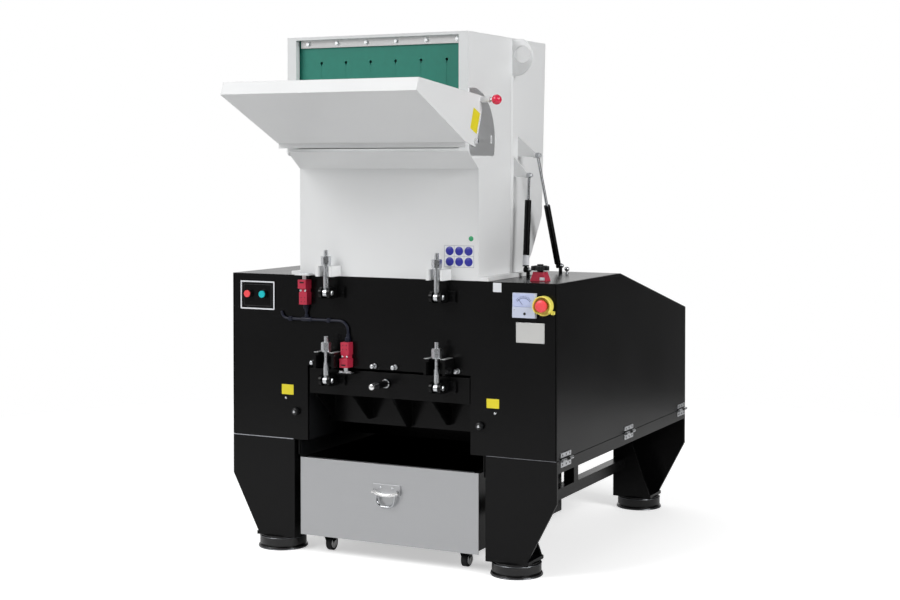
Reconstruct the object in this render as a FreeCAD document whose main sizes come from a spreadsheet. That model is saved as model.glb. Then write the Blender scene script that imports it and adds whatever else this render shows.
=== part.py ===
"""Plastic granulator with a tilting hopper, a folding feed tray and a collecting bin.

The machine stands on four round pads. X runs to the right, Y to the back and Z up.
All sizes are millimetres. While the pieces are drawn, Y = 0 is the front face of the
base, and each finished piece is then moved so that the origin lies under the middle
of the whole machine, on the floor.
"""
import FreeCAD, Part
import math
import os
import Sketcher
from FreeCAD import Placement, Rotation, Vector

os.makedirs("parts", exist_ok=True)
doc = FreeCAD.newDocument("plastic_granulator")

# Driving sizes
SIZES = {
    # base cabinet
    "base_half": 617, "seam_half": 423, "base_depth": 1294, "base_top": 959,
    "slope_start": 570, "rear_top": 785, "seam_z": 390, "rail_bottom": 350,
    "front_plate": 12, "sheet": 4, "deck": 12,
    "notch_half": 311, "notch_top": 649,
    # cutting chamber and rotor
    "chamber_wall": 50, "chamber_back": 430,
    "rotor_y": 240, "rotor_z": 745, "hub_radius": 105, "knife_radius": 160,
    "knife_thick": 34, "knife_rows": 3, "shaft_radius": 40,
    # side doors
    "door_sheet": 4, "door_gap": 2, "door_frame": 14, "door_frame_width": 28,
    "door_inset": 16, "hinge_radius": 5.5, "hinge_length": 85, "hinge_out": 7,
    "hinge_first": 72, "hinge_pitch": "=(base_depth - 124) / 2",
    # legs and floor frame
    "leg_inner": 365, "leg_depth": 122, "leg_sheet": 10, "leg_straight_to": 254,
    "foot_outer": 514, "gusset_top": 392, "foot_bottom": 45, "foot_plate": 12,
    "sole_out": 5, "pad_x": 449.5, "pad_radius": 81.5, "pad_flange": 85.5,
    "pad_flange_height": 9, "pad_groove": 5, "rail_tube": 40, "rail_z": 155,
    "post_y": "=base_depth / 2 - 4", "cross_width": 60,
    # skirts that guide the chips into the bin
    "skirt_x": 352, "skirt_low": 336, "skirt_sheet": 4,
    # hopper
    "hopper_half": 340, "hopper_wall": 4, "hopper_top": 1767,
    "hopper_bottom": "=base_top + 13", "mouth_top": "=hopper_top - 10",
    "mouth_bottom": "=hopper_top - 376", "knee_z": "=mouth_bottom - 10",
    "ledge_z": "=mouth_bottom - 66", "mouth_return": 22, "overhang": 78, "rear_top_y": 551,
    "rear_knee_y": 520, "rear_knee_z": "=hopper_bottom + 186", "rear_low_y": 425,
    "rear_low_z": "=hopper_bottom + 52", "rear_foot_y": 352, "mouth_half": 306,
    "roof_flange": 54,
    "flange_half": 375, "flange_back": 395, "flange_lift": 0.5,
    "throat_front": 40, "throat_back": 330, "throat_half": 300,
    # hopper hinge
    "hinge_y": 418, "hinge_z": "=base_top + 26", "hinge_pin": 8, "hinge_boss": 15, "hinge_arm": 20,
    "hinge_arm_x": 250, "ear": 12, "ear_gap": 2,
    # side brackets, lifting lugs and struts
    "rib_y": 264, "rib_half": 14, "rib_out": 5,
    "near_x": 398, "near_top_y": 275, "near_top_z": "=base_top + 343",
    "near_foot_y": 248, "near_foot_z": "=base_top + 25", "far_x": 412,
    "far_top_y": 315, "far_top_z": "=base_top + 411", "far_foot_y": 498,
    "far_foot_z": "=base_top + 25", "strut_radius": 11, "strut_rod": 5,
    "strut_eye": 9, "strut_eye_thick": 10, "strut_tube": 225, "strut_gap": 1,
    "lift_rod_inside": 30, "damper_rod_inside": 112,
    "gusset": 6, "gusset_height": 66, "lug_out": 76, "lug_low": "=hopper_top - 127",
    "lug_hole": 29,
    "lug_thick": 12,
    # feed tray
    "tray_front_y": -459, "tray_front_z": "=hopper_top - 206", "tray_lip": 44, "tray_slope": 24,
    "tray_back_y": -120, "tray_hem": 17, "tray_sheet": 3, "tray_gap": 5.5,
    "tray_pivot_y": -52, "tray_pivot_z": "=hopper_top - 353", "tray_side_y": 7,
    "tray_side_z": "=hopper_top - 206", "tray_side_edge": 30,
    "quadrant": 4, "quadrant_radius": 172, "quadrant_drop": 46, "quadrant_corner": 20,
    "slot_half": 15,
    "tray_close": 64, "plunger_radius": 142, "plunger_angle": 71, "plunger_pin": 5,
    "plunger_boss": 9, "plunger_out": 32, "knob_radius": 16.5, "tray_bolt": 9,
    # curtain in the mouth
    "curtain_thick": 5, "slits": 6, "slit_first": "=-0.7255 * mouth_half",
    "slit_pitch": "=0.3085 * mouth_half", "slit_top": "=hopper_top - 87",
    "slit_width": 3, "slit_hole": 5, "curtain_bottom": "=mouth_bottom + 11",
    "clamp_height": 28, "clamp_thick": 5,
    # screen cradle under the chamber
    "bar_top": 640, "bar_bottom": 562, "bar_thick": 20, "side_gap": 5,
    "rib_first": "=21 - notch_half", "rib_pitch": "=(2 * notch_half - 166) / 3",
    "rib_count": 4, "rib_depth": 130, "rib_foot": 22, "rib_low": 460, "long_rib": 2,
    "long_rib_low": 442, "rib_sheet": 10, "cradle_sheet": 8,
    "cradle_low": 440, "cradle_hinge_y": 455, "cradle_hinge_z": 470, "peg_length": 105,
    "peg_radius": 11, "peg_x": -4, "peg_z": 604,
    # swing bolts
    "bolt_x": 210, "bolt_y": -45, "bolt_radius": 7.5, "nut_across": 30, "nut_height": 30,
    "washer_radius": 15.5, "washer": 3,
    "upper_pin_z": 905, "upper_seat_z": 996, "lower_pin_z": 608, "lower_seat_z": 704,
    "bolt_above": 20, "eye_radius": 13, "eye_width": 14, "pin_radius": 6,
    "clevis_width": 98, "clevis_height": 38, "clevis_plate": 10, "clevis_ear": 10,
    "upper_lug_width": 62, "lower_lug_width": 80, "lug_slot": 42, "lug_plate": 10,
    "sleeve_radius": 9.5, "sleeve_top": 669,
    # controls
    "panel_left": "=34 - base_half", "panel_right": "=174 - base_half", "panel_low": 834, "panel_high": 933,
    "panel_depth": 3, "button_z": 888, "stop_x": "=68 - base_half",
    "start_x": "=129 - base_half",
    "button_radius": 14.5, "button_depth": 9, "ring_depth": 9, "press": 4,
    "meter_left": "=base_half - 150", "meter_low": 847, "meter_size": 80, "meter_depth": 14,
    "estop_x": "=base_half - 46", "estop_z": 888, "estop_radius": 20, "estop_neck": 11,
    "estop_depth": 32,
    "lock_x": "=base_half - 105", "lock_y": 108, "lock_width": 56, "lock_depth": 40,
    "lock_top": 34, "lock_height": 30, "star_radius": 31, "star_lobe": 9,
    "star_lobes": 5, "star_height": 15,
    # collecting bin
    "bin_half": 340, "bin_low": 62.5, "bin_high": 330, "bin_front": 3,
    "bin_body_half": 318, "bin_depth": "=base_depth - 534", "bin_sheet": 3, "bin_rim": 20,
    "bin_setback": 18,
    "grip_half": 52, "grip_low": 229, "grip_high": 264, "grip_depth": 4, "bail_half": 44,
    "bail_drop": 38, "bail_radius": 4.5, "bail_z": 238, "wheel_radius": 25,
    "wheel_width": 22, "wheel_x": 262, "wheel_front_y": 60,
    "wheel_rear_y": "=bin_depth - 70", "tyre_round": 6,
    "trail": 16, "fork_sheet": 3, "axle_radius": 4,
    # wired safety switches and their cable
    "switch_x": -311, "switch_end": 860, "lower_switch_x": -147,
    "lower_switch_end": 738, "switch_width": 31, "switch_body": 42, "switch_neck": 13,
    "switch_head": 30, "switch_depth": 30, "head_depth": 38, "gland_radius": 9,
    "gland_height": 15, "key_width": 14, "key_bracket": 56, "key_sheet": 4,
    "cable_radius": 4.5, "cable_z": 808, "cable_bend": 34, "cable_left": -386,
    "clip_right": -222, "clip_width": 12,
}

sheet = doc.addObject("Spreadsheet::Sheet", "sizes")
for row, (alias, number) in enumerate(SIZES.items(), start=1):
    sheet.set(f"A{row}", alias)
    sheet.set(f"B{row}", str(number))
    sheet.setAlias(f"B{row}", alias)
doc.recompute()


class Formula:
    """A size worked out from the sheet: its text for the document and its value now."""

    def __init__(self, text, value):
        self.text = text
        self.value = value

    def __float__(self):
        return float(self.value)

    def __add__(self, other):
        return Formula(f"({self.text} + {text_of(other)})", self.value + float(other))

    def __radd__(self, other):
        return Formula(f"({text_of(other)} + {self.text})", float(other) + self.value)

    def __sub__(self, other):
        return Formula(f"({self.text} - {text_of(other)})", self.value - float(other))

    def __rsub__(self, other):
        return Formula(f"({text_of(other)} - {self.text})", float(other) - self.value)

    def __mul__(self, other):
        return Formula(f"({self.text} * {text_of(other)})", self.value * float(other))

    def __rmul__(self, other):
        return Formula(f"({text_of(other)} * {self.text})", float(other) * self.value)

    def __truediv__(self, other):
        return Formula(f"({self.text} / {text_of(other)})", self.value / float(other))

    def __neg__(self):
        return Formula(f"(0 - {self.text})", -self.value)


def text_of(number):
    """A formula's text, or a plain number's."""
    return number.text if isinstance(number, Formula) else repr(float(number))


def sine(angle):
    """The sine of an angle in degrees."""
    return Formula(f"sin({text_of(angle)} * 1 deg)", math.sin(math.radians(float(angle))))


def cosine(angle):
    """The cosine of an angle in degrees."""
    return Formula(f"cos({text_of(angle)} * 1 deg)", math.cos(math.radians(float(angle))))


class Sheet:
    """Gives each driving size by its alias, as in S.base_half."""

    def __getattr__(self, alias):
        return Formula(f"sizes.{alias}", float(sheet.get(alias)))


S = Sheet()


def bind(piece, prop, formula):
    """Ties a property to the sheet."""
    piece.setExpression(prop, text_of(formula))


def block(name, x_span, y_span, z_span):
    """A box between two values on each axis."""
    box = doc.addObject("Part::Box", name)
    spans = zip(("Length", "Width", "Height"), "xyz", (x_span, y_span, z_span))
    for side, axis, (low, high) in spans:
        bind(box, side, high - low)
        bind(box, f"Placement.Base.{axis}", low)
    return box


TURNS = {"x": Rotation(Vector(0, 1, 0), 90), "y": Rotation(Vector(1, 0, 0), -90),
         "z": Rotation()}


def rod(name, axis, radius, start, length):
    """A cylinder from a start point along one axis."""
    cylinder = doc.addObject("Part::Cylinder", name)
    cylinder.Placement = Placement(Vector(), TURNS[axis])
    bind(cylinder, "Radius", radius)
    bind(cylinder, "Height", length)
    for letter, formula in zip("xyz", start):
        bind(cylinder, f"Placement.Base.{letter}", formula)
    return cylinder


def rounded(name, cylinder, radius):
    """A cylinder with both its rims rounded."""
    soft = doc.addObject("Part::Fillet", name)
    soft.Base = cylinder
    soft.Edges = [(1, float(radius), float(radius)), (3, float(radius), float(radius))]
    return soft


def prism(name, plane, corners, start, end):
    """A padded sketch between two places along X on YZ, Y on XZ or Z on XY."""
    body = doc.addObject("PartDesign::Body", name)
    sketch = body.newObject("Sketcher::SketchObject", name + "_sketch")
    planes = [f for f in body.Origin.OriginFeatures if f.Role == plane + "_Plane"]
    sketch.AttachmentSupport = [(planes[0], "")]
    sketch.MapMode = "FlatFace"
    places = [Vector(float(across), float(up), 0) for across, up in corners]
    count = len(places)
    for i in range(count):
        sketch.addGeometry(Part.LineSegment(places[i], places[(i + 1) % count]), False)
    for i in range(count):
        sketch.addConstraint(Sketcher.Constraint("Coincident", i, 2, (i + 1) % count, 1))
    for i, corner in enumerate(corners):
        for kind, formula in zip(("DistanceX", "DistanceY"), corner):
            rule = Sketcher.Constraint(kind, -1, 1, i, 1, float(formula))
            index = sketch.addConstraint(rule)
            if isinstance(formula, Formula):
                bind(sketch, f"Constraints[{index}]", formula)
    bind(sketch, "AttachmentOffset.Base.z", 0 - end if plane == "XZ" else start)
    pad = body.newObject("PartDesign::Pad", name + "_pad")
    pad.Profile = sketch
    bind(pad, "Length", end - start)
    return body


def fuse(name, *pieces):
    """One solid from several that touch or overlap."""
    joined = doc.addObject("Part::MultiFuse", name)
    joined.Shapes = list(pieces)
    joined.Refine = True
    return joined


def cut(name, base, *tools):
    """A solid with the tools taken away, one after another."""
    for i, tool in enumerate(tools):
        piece = doc.addObject("Part::Cut", f"{name}_{i}" if i < len(tools) - 1 else name)
        piece.Base = base
        piece.Tool = tool
        base = piece
    return base


def mirror(name, piece):
    """The same piece on the other side of the middle."""
    other = doc.addObject("Part::Mirroring", name)
    other.Source = piece
    other.Normal = Vector(1, 0, 0)
    return other


def pair(name, piece):
    """A piece and its mirror image."""
    return [piece, mirror(name + "_left", piece)]


def shaped(name, shape):
    """A piece whose shape is worked out here from the sheet's sizes."""
    piece = doc.addObject("Part::Feature", name)
    piece.Shape = shape
    return piece


nodes = []
MIDDLE_Y = (S.base_depth - S.leg_depth / 2 + S.pad_flange + S.tray_front_y) / 2


def node(name, pieces):
    """A named sub-part, moved so that the machine's middle is the origin."""
    group = doc.addObject("Part::Compound", name)
    group.Label = name
    group.Links = list(pieces)
    bind(group, "Placement.Base.y", -MIDDLE_Y)
    nodes.append(group)


def cabinet_profile(inset, bottom):
    """The side view of the cabinet with its sloping back, drawn in by an inset."""
    back = S.base_depth - inset
    fall = (S.base_top - S.rear_top) / (S.base_depth - S.slope_start)
    return [(inset, bottom), (inset, S.base_top - inset), (S.slope_start, S.base_top - inset),
            (back, S.rear_top - inset + inset * fall), (back, bottom)]


def chamber():
    """The front plate, the chamber's thick walls and the deck with its throat."""
    legs_to = S.seam_z
    node("chamber_front_plate", [prism("front_plate", "XZ", [
        (-S.seam_half, legs_to), (-S.seam_half, S.base_top), (S.seam_half, S.base_top),
        (S.seam_half, legs_to), (S.notch_half, legs_to), (S.notch_half, S.notch_top),
        (-S.notch_half, S.notch_top), (-S.notch_half, legs_to)], 0 * S.sheet, S.front_plate)])
    wall_top = S.base_top - S.deck
    side = block("chamber_side", (S.notch_half, S.notch_half + S.chamber_wall),
                 (S.front_plate, S.chamber_back + S.chamber_wall), (S.seam_z, wall_top))
    bore = rod("side_bore", "x", S.shaft_radius + 1, (S.notch_half - 1, S.rotor_y, S.rotor_z),
               S.chamber_wall + 2)
    pierced = cut("chamber_side_bored", side, bore)
    front = block("chamber_front", (-S.notch_half, S.notch_half),
                  (S.front_plate, S.throat_front), (S.notch_top, wall_top))
    back = block("chamber_rear", (-S.notch_half, S.notch_half),
                 (S.chamber_back, S.chamber_back + S.chamber_wall), (S.notch_top, wall_top))
    node("chamber_walls", pair("chamber_side", pierced) + [front, back])
    plate = block("deck_plate", (-S.seam_half, S.seam_half), (S.front_plate, S.slope_start),
                  (wall_top, S.base_top))
    throat = block("deck_throat", (-S.throat_half, S.throat_half),
                   (S.throat_front, S.throat_back), (wall_top - 1, S.base_top + 1))
    slope = prism("rear_cover_sheet", "YZ", [
        (S.slope_start, S.base_top), (S.base_depth, S.rear_top), (S.base_depth, S.seam_z),
        (S.base_depth - S.sheet, S.seam_z), (S.base_depth - S.sheet, S.rear_top - S.sheet),
        (S.slope_start, S.base_top - S.sheet)], -S.seam_half, S.seam_half)
    node("top_deck", [cut("deck", plate, throat)])
    node("rear_cover", [slope])


def rotor():
    """A hub on its shaft with rows of knives, seen when the hopper is tilted back."""
    half = S.notch_half - S.sheet
    hub = rod("rotor_hub", "x", S.hub_radius, (-half, S.rotor_y, S.rotor_z), 2 * half)
    reach = S.notch_half + S.chamber_wall + S.cross_width / 2
    shaft = rod("rotor_shaft", "x", S.shaft_radius, (-reach, S.rotor_y, S.rotor_z), 2 * reach)
    rows = []
    for i in range(round(float(S.knife_rows))):
        knife = Part.makeBox(float(2 * half), float(S.knife_thick), float(S.knife_radius),
                             Vector(-float(half), 0, 0))
        knife.rotate(Vector(), Vector(1, 0, 0), 30 + i * 360 / float(S.knife_rows))
        knife.translate(Vector(0, float(S.rotor_y), float(S.rotor_z)))
        rows.append(shaped(f"knife_row_{i}", knife))
    node("rotor", [fuse("rotor_body", hub, shaft, *rows)])


def side_housings():
    """The sheet housings left and right of the chamber, open on their outer side."""
    outer_end = S.base_half - S.door_sheet - S.door_gap
    shell = prism("housing_shell", "YZ", cabinet_profile(0 * S.sheet, S.seam_z),
                  S.seam_half, outer_end)
    hollow = prism("housing_hollow", "YZ", cabinet_profile(S.sheet, S.seam_z + S.sheet),
                   S.seam_half + S.sheet, outer_end + 1)
    right = cut("right_housing_shell", shell, hollow)
    node("right_housing", [right])
    node("left_housing", [mirror("left_housing_shell", right)])


def side_doors():
    """Flat doors on the cabinet's sides, hinged along their lower edge."""
    low = S.seam_z + S.door_gap
    skin = prism("door_skin", "YZ", cabinet_profile(0 * S.sheet, low),
                 S.base_half - S.door_sheet, S.base_half)
    ring_end = S.base_half - S.door_sheet
    ring = prism("door_ring", "YZ", cabinet_profile(S.door_inset, low + S.door_inset),
                 ring_end - S.door_frame, ring_end)
    inner = S.door_inset + S.door_frame_width
    window = prism("door_window", "YZ", cabinet_profile(inner, low + inner),
                   ring_end - S.door_frame - 1, ring_end)
    door = fuse("door_panel", skin, cut("door_frame_ring", ring, window))
    leaf_low = low
    pieces, fixed = [door], []
    for i in range(3):
        middle = S.hinge_first + i * S.hinge_pitch
        span = (middle - S.hinge_length / 2, middle + S.hinge_length / 2)
        third = S.hinge_length / 3
        leaf = block(f"door_leaf_{i}", (S.base_half, S.base_half + S.door_gap),
                     (span[0] + third + 0.5, span[1] - third - 0.5),
                     (leaf_low, leaf_low + 3 * S.hinge_out))
        knuckle = rod(f"door_knuckle_{i}", "y", S.hinge_radius,
                      (S.base_half + S.hinge_out, span[0] + third + 0.5, S.seam_z),
                      third - 1)
        web = block(f"door_web_{i}", (S.base_half, S.base_half + S.hinge_out),
                    (span[0] + third + 0.5, span[1] - third - 0.5),
                    (leaf_low, S.seam_z + S.hinge_radius))
        pieces.append(fuse(f"door_hinge_{i}", leaf, web, knuckle))
        for end, place in (("front", span[0]), ("back", span[1] - third)):
            plate = block(f"rail_leaf_{i}_{end}", (S.base_half, S.base_half + S.door_gap),
                          (place, place + third),
                          (S.seam_z - 3 * S.hinge_out, S.seam_z - S.door_gap))
            foot = block(f"rail_web_{i}_{end}", (S.base_half, S.base_half + S.hinge_out),
                         (place, place + third),
                         (S.seam_z - S.hinge_radius, S.seam_z - S.door_gap))
            barrel = rod(f"rail_knuckle_{i}_{end}", "y", S.hinge_radius,
                         (S.base_half + S.hinge_out, place, S.seam_z), third)
            fixed.append(fuse(f"rail_hinge_{i}_{end}", plate, foot, barrel))
    right = fuse("right_door", *pieces)
    node("right_side_door", [right])
    node("left_side_door", [mirror("left_door", right)])
    node("door_hinge_rails", fixed + [mirror(f"{p.Name}_left", p) for p in fixed])


def floor_frame():
    """The rails that carry the cabinet, the low stretchers, the legs and the pads."""
    ends = (S.leg_sheet, S.base_depth - S.leg_sheet)
    frame = [block("side_rail", (S.base_half - S.cross_width, S.base_half), ends,
                   (S.rail_bottom, S.seam_z))]
    frame.append(mirror("side_rail_left", frame[0]))
    inner = S.base_half - S.cross_width
    for name, reach, place in (("middle", inner, S.chamber_back),
                               ("rear", S.leg_inner, S.base_depth - S.cross_width)):
        frame.append(block(f"{name}_cross_rail", (-reach, reach), (place, place + S.cross_width),
                           (S.rail_bottom, S.seam_z)))
    side_skirt = block("side_skirt", (S.skirt_x, S.skirt_x + S.skirt_sheet),
                       (S.front_plate, S.bin_depth + 2 * S.sheet), (S.skirt_low, S.seam_z))
    middle = (S.chamber_back - S.sheet, S.chamber_back + S.cross_width + S.sheet)
    notch = block("skirt_notch", (S.skirt_x - 1, S.skirt_x + S.skirt_sheet + 1), middle,
                  (S.rail_bottom - S.sheet, S.seam_z + 1))
    skirts = pair("side_skirt_cut", cut("side_skirt_cut", side_skirt, notch))
    skirts.append(block("rear_skirt", (-S.skirt_x, S.skirt_x),
                        (S.bin_depth + S.sheet, S.bin_depth + 2 * S.sheet),
                        (S.skirt_low, S.seam_z)))
    hung = fuse("frame_and_skirts", *frame, *skirts)
    node("cabinet_frame", [hung])

    low = S.foot_bottom + S.foot_plate
    face = prism("leg_face", "XZ", [
        (S.leg_inner, low), (S.leg_inner, S.seam_z), (S.base_half, S.seam_z),
        (S.base_half, S.leg_straight_to), (S.foot_outer, low)], 0 * S.sheet, S.leg_sheet)
    web = block("leg_web", (S.leg_inner, S.leg_inner + S.leg_sheet),
                (S.leg_sheet, S.leg_depth - S.leg_sheet), (low, S.seam_z))
    back = prism("leg_gusset", "XZ", [
        (S.leg_inner, low), (S.leg_inner, S.seam_z), (S.gusset_top, S.seam_z),
        (S.foot_outer, low)], S.leg_depth - S.leg_sheet, S.leg_depth)
    sole = block("leg_sole", (S.leg_inner, S.foot_outer + S.sole_out),
                 (0 * S.sheet, S.leg_depth), (S.foot_bottom, low))
    front_leg = fuse("front_leg", face, web, back, sole)
    rear = doc.addObject("Part::Mirroring", "rear_leg")
    rear.Source = front_leg
    rear.Normal = Vector(0, 1, 0)
    bind(rear, "Base.y", S.base_depth / 2)
    node("legs", pair("front_leg", front_leg) + pair("rear_leg", rear))

    rail_x = (S.leg_inner + S.leg_sheet, S.leg_inner + S.leg_sheet + S.rail_tube)
    rail = block("low_rail", rail_x, (S.leg_depth, S.base_depth - S.leg_depth),
                 (S.rail_z, S.rail_z + S.rail_tube))
    post = block("rail_post", rail_x, (S.post_y, S.post_y + S.rail_tube),
                 (S.rail_z + S.rail_tube, S.rail_bottom))
    cross = block("post_rail", (S.leg_inner, S.base_half - S.cross_width),
                  (S.post_y - S.rail_tube / 2, S.post_y + 3 * S.rail_tube / 2),
                  (S.rail_bottom, S.seam_z))
    node("side_stretchers", pair("stretcher", fuse("stretcher", rail, post, cross)))

    pads = []
    for name, place in (("front", S.leg_depth / 2), ("rear", S.base_depth - S.leg_depth / 2)):
        at = (S.pad_x, place)
        height = S.pad_flange_height
        flange = rounded(f"{name}_pad_flange", rod(
            f"{name}_pad_flange_blank", "z", S.pad_flange, (*at, 0 * height), height), 2)
        core = rod(f"{name}_pad_core", "z", S.pad_radius - S.pad_groove, (*at, height / 2),
                   S.foot_bottom - height / 2)
        body = rounded(f"{name}_pad_body", rod(
            f"{name}_pad_body_blank", "z", S.pad_radius, (*at, height + S.pad_groove),
            S.foot_bottom - height - 2 * S.pad_groove), 3)
        pads += pair(f"{name}_pad", fuse(f"{name}_pad", flange, core, body))
    node("anti_vibration_pads", pads)


def outline_back(inset):
    """The hopper's rear wall in side view, from the roof down, drawn in by an inset."""
    return [(S.rear_top_y - inset, S.hopper_top - inset),
            (S.rear_knee_y - inset, S.rear_knee_z), (S.rear_low_y - inset, S.rear_low_z),
            (S.rear_foot_y - inset, S.hopper_bottom)]


def hopper():
    """The welded sheet hopper with its overhanging mouth, on a thick flange."""
    wall = S.hopper_wall
    front = [(0 * wall, S.hopper_bottom), (0 * wall, S.ledge_z), (-S.overhang, S.knee_z),
             (-S.overhang, S.hopper_top)]
    side = prism("hopper_side", "YZ", front + outline_back(0 * wall),
                 S.hopper_half - wall, S.hopper_half)
    node("hopper_sides", pair("hopper_side", side))
    inner = S.hopper_half - wall
    lower = prism("hopper_front_lower", "YZ", [
        (0 * wall, S.hopper_bottom), (0 * wall, S.ledge_z), (-S.overhang, S.knee_z),
        (-S.overhang, S.mouth_bottom), (S.mouth_return - S.overhang, S.mouth_bottom),
        (S.mouth_return - S.overhang, S.mouth_bottom - wall),
        (wall - S.overhang, S.mouth_bottom - wall),
        (wall - S.overhang, S.knee_z + wall / 2), (wall, S.ledge_z + wall / 2),
        (wall, S.hopper_bottom)], -inner, inner)
    node("hopper_front", [lower])
    frame_top = S.hopper_top - wall
    opening = [(S.mouth_half, S.mouth_bottom), (S.mouth_half, S.mouth_top),
               (-S.mouth_half, S.mouth_top), (-S.mouth_half, S.mouth_bottom)]
    pieces = []
    for name, edge, deep in (("mouth_sheet", inner, wall),
                             ("mouth_returns", S.mouth_half + wall, S.mouth_return)):
        around = [(-edge, S.mouth_bottom), (-edge, frame_top), (edge, frame_top),
                  (edge, S.mouth_bottom)]
        pieces.append(prism(name, "XZ", around + opening, -S.overhang, deep - S.overhang))
    node("hopper_mouth_frame", [fuse("mouth_frame", *pieces)])
    roof_sheet = block("roof_sheet", (-inner, inner), (-S.overhang, S.rear_top_y),
                       (S.hopper_top - wall, S.hopper_top))
    hang = S.mouth_return - S.overhang + S.clamp_thick + S.curtain_thick
    roof_flange = block("roof_hanging_flange", (-inner, inner), (hang, hang + wall),
                        (frame_top - S.roof_flange, frame_top))
    roof = fuse("roof", roof_sheet, roof_flange)
    back = outline_back(0 * wall)
    back[0] = (S.rear_top_y, S.hopper_top - wall)
    inside = outline_back(wall)[::-1]
    rear = prism("rear_sheet", "YZ", back + inside, -inner, inner)
    node("hopper_roof", [roof])
    node("hopper_back", [rear])
    low = S.base_top + S.flange_lift
    plate = block("flange_plate", (-S.flange_half, S.flange_half),
                  (0 * wall, S.flange_back), (low, S.hopper_bottom))
    hole = block("flange_hole", (-inner, inner), (wall, S.rear_foot_y - wall),
                 (low - 1, S.hopper_bottom + 1))
    node("hopper_flange", [cut("flange_ring", plate, hole)])


def hopper_hinge():
    """Two arms on the flange turn on pins between ears that stand on the deck."""
    axis = (S.hinge_y, S.hinge_z)
    arms, ears = [], []
    arm_span = (S.hinge_arm_x - S.hinge_arm / 2, S.hinge_arm_x + S.hinge_arm / 2)
    heel = S.rear_foot_y + S.hinge_arm
    rise = (S.rear_low_z - S.hopper_bottom) / (S.rear_low_y - S.rear_foot_y)
    under = S.hopper_bottom + rise * (heel - S.rear_foot_y) - 2
    tongue = prism("hinge_tongue", "YZ", [
        (heel, S.hopper_bottom), (heel, under), (heel + S.hinge_arm, S.hinge_z + S.hinge_boss),
        (S.hinge_y, S.hinge_z + S.hinge_boss), (S.hinge_y, S.hopper_bottom)], *arm_span)
    boss = rod("arm_boss", "x", S.hinge_boss, (arm_span[0], *axis), S.hinge_arm)
    bore = rod("arm_bore", "x", S.hinge_pin + 0.3, (arm_span[0] - 1, *axis), S.hinge_arm + 2)
    arms += pair("hinge_arm", cut("hinge_arm", fuse("arm_blank", tongue, boss), bore))
    for side, start in (("inner", arm_span[0] - S.ear_gap - S.ear),
                        ("outer", arm_span[1] + S.ear_gap)):
        plate = block(f"{side}_ear_plate", (start, start + S.ear),
                      (S.hinge_y - S.hinge_boss, S.hinge_y + S.hinge_boss),
                      (S.base_top, S.hinge_z))
        top = rod(f"{side}_ear_top", "x", S.hinge_boss, (start, *axis), S.ear)
        ears.append(fuse(f"{side}_ear", plate, top))
    span = S.hinge_arm + 2 * S.ear_gap + 2 * S.ear
    pin = rod("hinge_pin_rod", "x", S.hinge_pin, (arm_span[0] - S.ear_gap - S.ear, *axis), span)
    node("hopper_hinge_arms", arms)
    return pair("hinge_ears", fuse("hinge_ears", *ears, pin))


def swing_bolt(name, pin_z, seat_z, sleeve_top):
    """An eye bolt on its pin: a flat eye, a sleeve, the thread, a washer and a nut."""
    at = (S.bolt_x, S.bolt_y)
    eye = rod(f"{name}_eye", "x", S.eye_radius,
              (S.bolt_x - S.eye_width / 2, S.bolt_y, pin_z), S.eye_width)
    sleeve = rod(f"{name}_sleeve", "z", S.sleeve_radius, (*at, pin_z + S.eye_radius - 3),
                 sleeve_top - pin_z - S.eye_radius + 3)
    washer = rod(f"{name}_washer", "z", S.washer_radius, (*at, seat_z + 1), S.washer)
    nut_low = seat_z + 1 + S.washer
    top = nut_low + S.nut_height + S.bolt_above
    shank = rod(f"{name}_shank", "z", S.bolt_radius, (*at, pin_z + S.eye_radius - 3),
                top - pin_z - S.eye_radius + 3)
    hexagon = doc.addObject("Part::Prism", f"{name}_nut_hexagon")
    hexagon.Polygon = 6
    hexagon.Placement = Placement(Vector(), Rotation(Vector(0, 0, 1), 30))
    bind(hexagon, "Circumradius", S.nut_across / 2 / cosine(30))
    bind(hexagon, "Height", S.nut_height)
    for letter, formula in zip("xyz", (*at, nut_low)):
        bind(hexagon, f"Placement.Base.{letter}", formula)
    dome = doc.addObject("Part::Sphere", f"{name}_nut_dome")
    bind(dome, "Radius", 0.713 * S.nut_across)
    for letter, formula in zip("xyz", (*at, nut_low + S.nut_height / 2)):
        bind(dome, f"Placement.Base.{letter}", formula)
    nut = doc.addObject("Part::MultiCommon", f"{name}_nut")
    nut.Shapes = [hexagon, dome]
    hole = rod(f"{name}_hole", "x", S.pin_radius + 0.3,
               (S.bolt_x - S.sleeve_radius - 1, S.bolt_y, pin_z), 2 * S.sleeve_radius + 2)
    blank = fuse(f"{name}_blank", eye, sleeve, shank, washer, nut)
    return cut(f"{name}_swing_bolt", blank, hole)


def clevis(name, pin_z, face_y):
    """A plate with two ears and the pin that a swing bolt turns on."""
    half = S.clevis_width / 2
    low = pin_z - S.clevis_height / 2
    plate = block(f"{name}_plate", (S.bolt_x - half, S.bolt_x + half),
                  (face_y - S.clevis_plate, face_y), (low, low + S.clevis_height))
    pieces = [plate]
    gap = S.sleeve_radius + 1.5
    for side, start in (("left", S.bolt_x - gap - S.clevis_ear), ("right", S.bolt_x + gap)):
        cheek = block(f"{name}_{side}_cheek", (start, start + S.clevis_ear),
                      (S.bolt_y, face_y - S.clevis_plate), (low, low + S.clevis_height))
        tip = rod(f"{name}_{side}_tip", "x", S.clevis_height / 2,
                  (start, S.bolt_y, pin_z), S.clevis_ear)
        pieces += [cheek, tip]
    reach = gap + S.clevis_ear + 3
    pieces.append(rod(f"{name}_pin", "x", S.pin_radius, (S.bolt_x - reach, S.bolt_y, pin_z),
                      2 * reach))
    return fuse(f"{name}_clevis", *pieces)


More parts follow.
